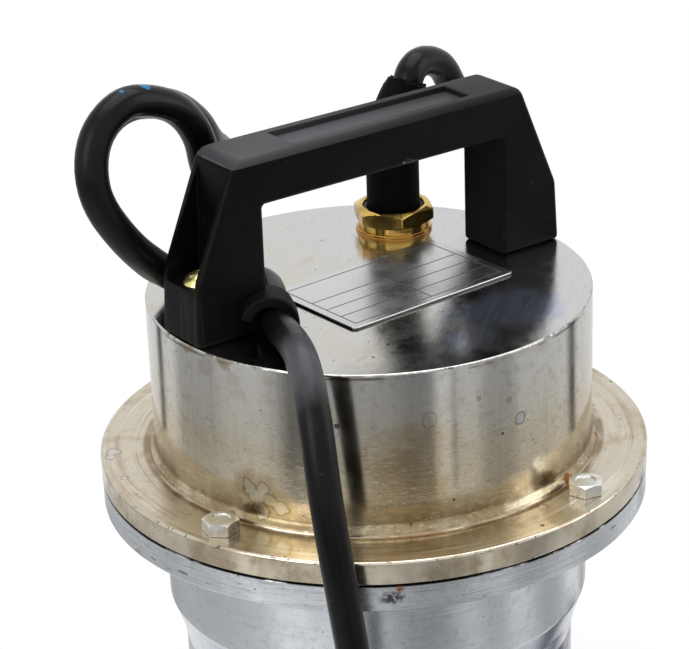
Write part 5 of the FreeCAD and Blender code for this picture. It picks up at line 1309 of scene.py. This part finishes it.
TAIL_ROUTE = [
    (0.0, -241.5, 35.3), (-24.6, -239.7, 31.5), (-47.4, -232.7, 22.0), (-67.1, -220.8, 11.5),
    (-82.7, -202.1, 5.4), (-92.5, -181.5, 5.6), (-97.0, -162.5, 9.6), (-98.0, -144.0, 11.0),
]
COLUMNS = (COIL_R + CORD_D, COIL_R, COIL_R - CORD_D)
LAYERS = [TIE_T + CORD_R + CORD_D * k for k in range(4)]
TURN_POINTS = 24
OUTSIDE = 1 / math.cos(math.pi / TURN_POINTS) ** 0.5


def coil_plan():
    """Where the cord has got to along the coil: (travelled degrees, radius, height)."""
    outer, middle, inner = COLUMNS
    plan = [(0, outer, LAYERS[0])]
    steps = [(305, middle, 0), (665, inner, 0), (1000, inner, 1), (1335, middle, 1),
             (1695, outer, 1), (2030, outer, 2), (2365, middle, 2), (2725, inner, 2),
             (3060, inner, 3)]
    for begin, radius, layer in steps:
        plan.append((begin, plan[-1][1], plan[-1][2]))
        plan.append((begin + 25, radius, LAYERS[layer]))
    plan.append((3225, inner, LAYERS[3]))
    plan.append((3400, outer, LAYERS[3]))
    return plan


def coil_points():
    plan = coil_plan()
    points = []
    travelled = 15.0
    while travelled < 3395:
        for (start, r0, z0), (stop, r1, z1) in zip(plan, plan[1:]):
            if start <= travelled <= stop:
                share = (travelled - start) / (stop - start) if stop > start else 0.0
                share = share * share * (3 - 2 * share)
                radius = (r0 + (r1 - r0) * share) * OUTSIDE
                points.append(polar(radius, 90 - travelled, z0 + (z1 - z0) * share, *COIL))
                break
        travelled += 360.0 / TURN_POINTS
    return points


def cord_line():
    route = [Vector((x, y, FLANGE_TOP + h)) for x, y, h in CORD_ROUTE]
    return route + coil_points() + [Vector(p) for p in TAIL_ROUTE]


def line_length(points):
    drawn = smooth_line(points, 8)
    return sum((b - a).length for a, b in zip(drawn, drawn[1:]))


def cord():
    curve = bpy.data.curves.new("power_cord_line", "CURVE")
    curve.dimensions = "3D"
    curve.bevel_depth = CORD_R * MM
    curve.bevel_resolution = 7
    curve.resolution_u = 6
    curve.use_fill_caps = True
    points = cord_line()
    spline = curve.splines.new("NURBS")
    spline.points.add(len(points) - 1)
    for spot, control in zip(points, spline.points):
        control.co = (*(spot * MM), 1.0)
    spline.order_u = 3
    spline.use_endpoint_u = True
    spline.resolution_u = 6
    obj = bpy.data.objects.new("power_cord_line", curve)
    scene.collection.objects.link(obj)
    curve.materials.append(RUBBER)
    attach(obj, "casing")
    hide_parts("power_cord", "cord_coil", "cord_tail")
    return obj, line_length(points) * MM


def ties():
    """Two straps round the coil's section, each with its overlap on top."""
    bm = bmesh.new()
    half = 1.5 * CORD_D + TIE_T
    high = TIE_T * 2 + 4 * CORD_D

    def loop(inset, corner):
        far, near = COIL_R + half - inset, COIL_R - half + inset
        low, top = inset, high - inset
        return rounded([(far, low, corner), (far, top, corner), (near, top, corner),
                        (near, low, corner)], steps=6)
    outline, inside = loop(0, 5.5), loop(TIE_T, 4.4)
    for angle in (20.0, 150.0):
        rings = [[(p.x, y, p.y) for p in shape] for shape, y in
                 ((outline, -5.7), (outline, 5.7), (inside, 5.7), (inside, -5.7))]
        one = fresh(skin, rings, closed=True)
        overlap = plate_outline(20.0, 11.0, 3.0)
        skin(one, [[(COIL_R + p.x, p.y, z) for p in overlap] for z in (high - 0.2, high + 0.5)])
        shifted(one, Matrix.Translation((*COIL, 0)) @ Matrix.Rotation(math.radians(angle), 4, "Z"))
        joined(bm, one)
    return bm


def plug_place():
    start = Vector(TAIL_ROUTE[-1])
    before = Vector(TAIL_ROUTE[-2])
    heading = math.atan2(start.y - before.y, start.x - before.x)
    return Matrix.Translation(start) @ Matrix.Rotation(heading, 4, "Z")


def along_plug(steps, y=0.0):
    """A path along the plug from (x, radius) steps."""
    return [((x, y, 0), (1, 0, 0), radius) for x, radius in steps]


def plug_body():
    """Ribbed relief and a rounded body with finger grooves."""
    steps = [(-6, 5.4), (-5.4, 5.9)]
    for k in range(6):
        x = -4.4 + 5.3 * k
        r = 6.2 + 0.55 * k
        steps += [(x, r), (x + 3.2, r + 0.3), (x + 3.7, r - 0.5), (x + 4.8, r - 0.45)]
    steps.append((30, 9.0))
    bm = fresh(skin, stations(along_plug(steps), 48))
    rings = []
    for x, grow in ((28, 0.72), (28.6, 0.86), (30, 0.95), (32, 1.0), (38, 1.0), (40, 0.965),
                    (42, 1.0), (45, 1.0), (47, 0.965), (49, 1.0), (52, 1.0), (54, 0.965),
                    (56, 1.0), (61.5, 1.0), (63.2, 0.97), (64, 0.92)):
        outline = plate_outline(34.0 * grow, 22.0 * grow, 6.0 * grow)
        rings.append([(x, p.x, p.y) for p in outline])
    skin(bm, rings)
    shifted(bm, plug_place())
    return bm


def plug_pins():
    bm = bmesh.new()
    for y in (-9.5, 9.5):
        path = along_plug([(63.5, 2.4), (81.6, 2.4), (82.5, 2.0), (83.0, 1.2)], y)
        skin(bm, stations(path, 40))
    shifted(bm, plug_place())
    return bm


cord_object, cord_length = cord()
tie_object = piece("coil_tie_straps", ties(), TIE, ["coil_ties"])
plug_object = piece("cord_plug_body", plug_body(), PLUG, ["cord_plug"], sharp=40)
pins_object = piece("cord_plug_pins", plug_pins(), PIN, ["plug_pins"])


# Inner pieces, as packed

for finish, names in INNER.items():
    for name in names:
        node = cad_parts[name]
        node.data.materials.clear()
        node.data.materials.append(finish)


# Camera

def camera():
    ahead = (CAMERA_AIM - CAMERA_PLACE).normalized()
    right = ahead.cross(Vector((0, 0, 1))).normalized()
    up = right.cross(ahead)
    roll = math.radians(CAMERA_ROLL)
    side = right * math.cos(roll) - up * math.sin(roll)
    top = right * math.sin(roll) + up * math.cos(roll)
    data = bpy.data.cameras.new("camera")
    data.lens = CAMERA_LENS
    data.sensor_width = 36.0
    obj = bpy.data.objects.new("camera", data)
    scene.collection.objects.link(obj)
    turn = Matrix((side, top, -ahead)).transposed()
    obj.matrix_world = Matrix.Translation(CAMERA_PLACE) @ turn.to_4x4()
    scene.camera = obj


# Light, floor and the cards that the bright metal mirrors

def white_room():
    """White where the camera or a reflection looks, and a dimmer light on everything else."""
    world = bpy.data.worlds.new("White room")
    scene.world = world
    world.use_nodes = True
    tree = world.node_tree
    tree.nodes.clear()
    path = wired(tree, "ShaderNodeLightPath", {}).outputs
    seen = worked(tree, "MAXIMUM", path["Is Camera Ray"], path["Is Glossy Ray"])
    seen = worked(tree, "MAXIMUM", seen, path["Is Transmission Ray"])
    lit = wired(tree, "ShaderNodeBackground", {"Color": (0.97, 0.985, 1, 1), "Strength": 0.45})
    shown = wired(tree, "ShaderNodeBackground", {"Color": (1, 1, 1, 1)})
    mix = wired(tree, "ShaderNodeMixShader", {0: seen, 1: lit.outputs[0], 2: shown.outputs[0]})
    wired(tree, "ShaderNodeOutputWorld", {"Surface": mix.outputs[0]})


def floor():
    """A pale floor that turns to the white of the room a little way off."""
    material = bpy.data.materials.new("Pale floor")
    material.use_nodes = True
    tree = material.node_tree
    shader = tree.nodes["Principled BSDF"]
    shader.inputs["Base Color"].default_value = (0.80, 0.80, 0.79, 1)
    shader.inputs["Roughness"].default_value = 0.9
    place = wired(tree, "ShaderNodeTexCoord", {}).outputs["Object"]
    away = wired(tree, "ShaderNodeVectorMath", {0: place}, operation="LENGTH").outputs["Value"]
    near, far = FLOOR_FADES
    share = wired(tree, "ShaderNodeMapRange", {"Value": away, "From Min": near, "From Max": far})
    glow = wired(tree, "ShaderNodeEmission", {"Color": (1, 1, 1, 1)})
    mix = wired(tree, "ShaderNodeMixShader", {
        0: share.outputs[0], 1: shader.outputs[0], 2: glow.outputs[0]})
    tree.links.new(mix.outputs[0], tree.nodes["Material Output"].inputs["Surface"])
    mesh = bpy.data.meshes.new("floor")
    mesh.from_pydata([(-9, -9, 0), (9, -9, 0), (9, 9, 0), (-9, 9, 0)], [], [(0, 1, 2, 3)])
    mesh.materials.append(material)
    obj = bpy.data.objects.new("floor", mesh)
    scene.collection.objects.link(obj)


def banded_card(name, near, far, bands):
    """A flat ring low round the pump, bright and dark by turns, that only reflections show.

    Bands are (degrees from the camera's side, brightness), from -180 to 180.
    """
    rings = [[polar(r, 3 * k, 3) for k in range(120)] for r in (near, far)]
    obj = as_object(name, fresh(skin, rings, capped=False))
    material = bpy.data.materials.new(name)
    material.use_nodes = True
    tree = material.node_tree
    tree.nodes.clear()
    place = wired(tree, "ShaderNodeTexCoord", {}).outputs["Object"]
    facing = wired(tree, "ShaderNodeMapping", {
        "Vector": place, "Rotation": (0, 0, math.radians(-CAMERA_SIDE))}).outputs[0]
    x, y, _ = wired(tree, "ShaderNodeSeparateXYZ", {0: facing}).outputs
    share = wired(tree, "ShaderNodeMapRange", {
        "Value": worked(tree, "ARCTAN2", y, x), "From Min": -math.pi, "From Max": math.pi})
    ramp = wired(tree, "ShaderNodeValToRGB", {0: share.outputs[0]})
    stops = ramp.color_ramp.elements
    for degrees, bright in bands:
        at_end = {-180: 0, 180: -1}.get(degrees)
        stop = stops.new(degrees / 360 + 0.5) if at_end is None else stops[at_end]
        stop.color = (bright, bright, bright, 1.0)
    glow = wired(tree, "ShaderNodeEmission", {"Color": ramp.outputs[0]})
    wired(tree, "ShaderNodeOutputMaterial", {"Surface": glow.outputs[0]})
    obj.data.materials.append(material)
    obj.visible_camera = False
    obj.visible_diffuse = False
    obj.visible_shadow = False
    obj.visible_transmission = False


def softbox(name, place, size, power, colour=(1, 1, 1)):
    data = bpy.data.lights.new(name, "AREA")
    data.shape = "RECTANGLE"
    data.size, data.size_y = size
    data.energy = power
    data.color = colour
    obj = bpy.data.objects.new(name, data)
    scene.collection.objects.link(obj)
    place = Vector(place)
    obj.location = place
    obj.rotation_euler = (Vector((0, 0, 0.3)) - place).to_track_quat("-Z", "Y").to_euler()


camera()
white_room()
floor()
banded_card("room for the cover", 577, 2600, [
    (-180, 0.8), (-138, 0.8), (-134, 0.08), (-131, 0.08), (-128, 0.78), (-116, 0.75), (-111, 0.42),
    (-86, 0.42), (-74, 0.58), (-56, 0.60), (-48, 0.45), (-41, 0.18), (-28, 0.18), (-24, 0.42),
    (-4, 0.38), (8, 0.32), (18, 0.21), (29, 0.24), (31, 0.66), (38, 0.76), (39.5, 0.08), (41, 0.60),
    (51, 0.58), (58, 0.38), (71, 0.38), (78, 0.58), (97, 0.62), (114, 0.72), (119, 0.10),
    (122.5, 0.10), (125, 0.75), (180, 0.8)])
banded_card("room for the rim", 538, 576, [
    (-180, 1.0), (-142, 1.0), (-126, 0.95), (-94, 0.9), (-63, 0.85), (-52, 1.45), (-31, 1.35),
    (16, 1.1), (47, 1.05), (56, 0.25), (72, 0.28), (79, 0.62), (110, 0.75), (142, 0.85), (180, 1.0)])
banded_card("room for the housing", 350, 537, [
    (-180, 0.8), (-142, 0.4), (-125, 0.52), (-94, 0.50), (-62, 0.60), (-47, 1.1), (-31, 0.98),
    (0, 0.60), (12, 0.20), (34, 0.20), (47, 0.62), (60, 0.42), (66, 0.42), (72, 0.9), (84, 0.75),
    (92, 0.38), (108, 0.44), (118, 0.95), (138, 0.85), (141, 0.04), (144, 0.04), (147, 0.8),
    (180, 0.8)])
softbox("top light", (0.2, 0.1, 1.7), (1.4, 1.4), 17, (0.86, 0.92, 1.0))
softbox("left light", (-1.5, -0.4, 1.0), (0.9, 1.2), 9)
softbox("right light", (1.3, -0.9, 0.9), (0.9, 1.2), 5)

scene.view_settings.view_transform = "Standard"
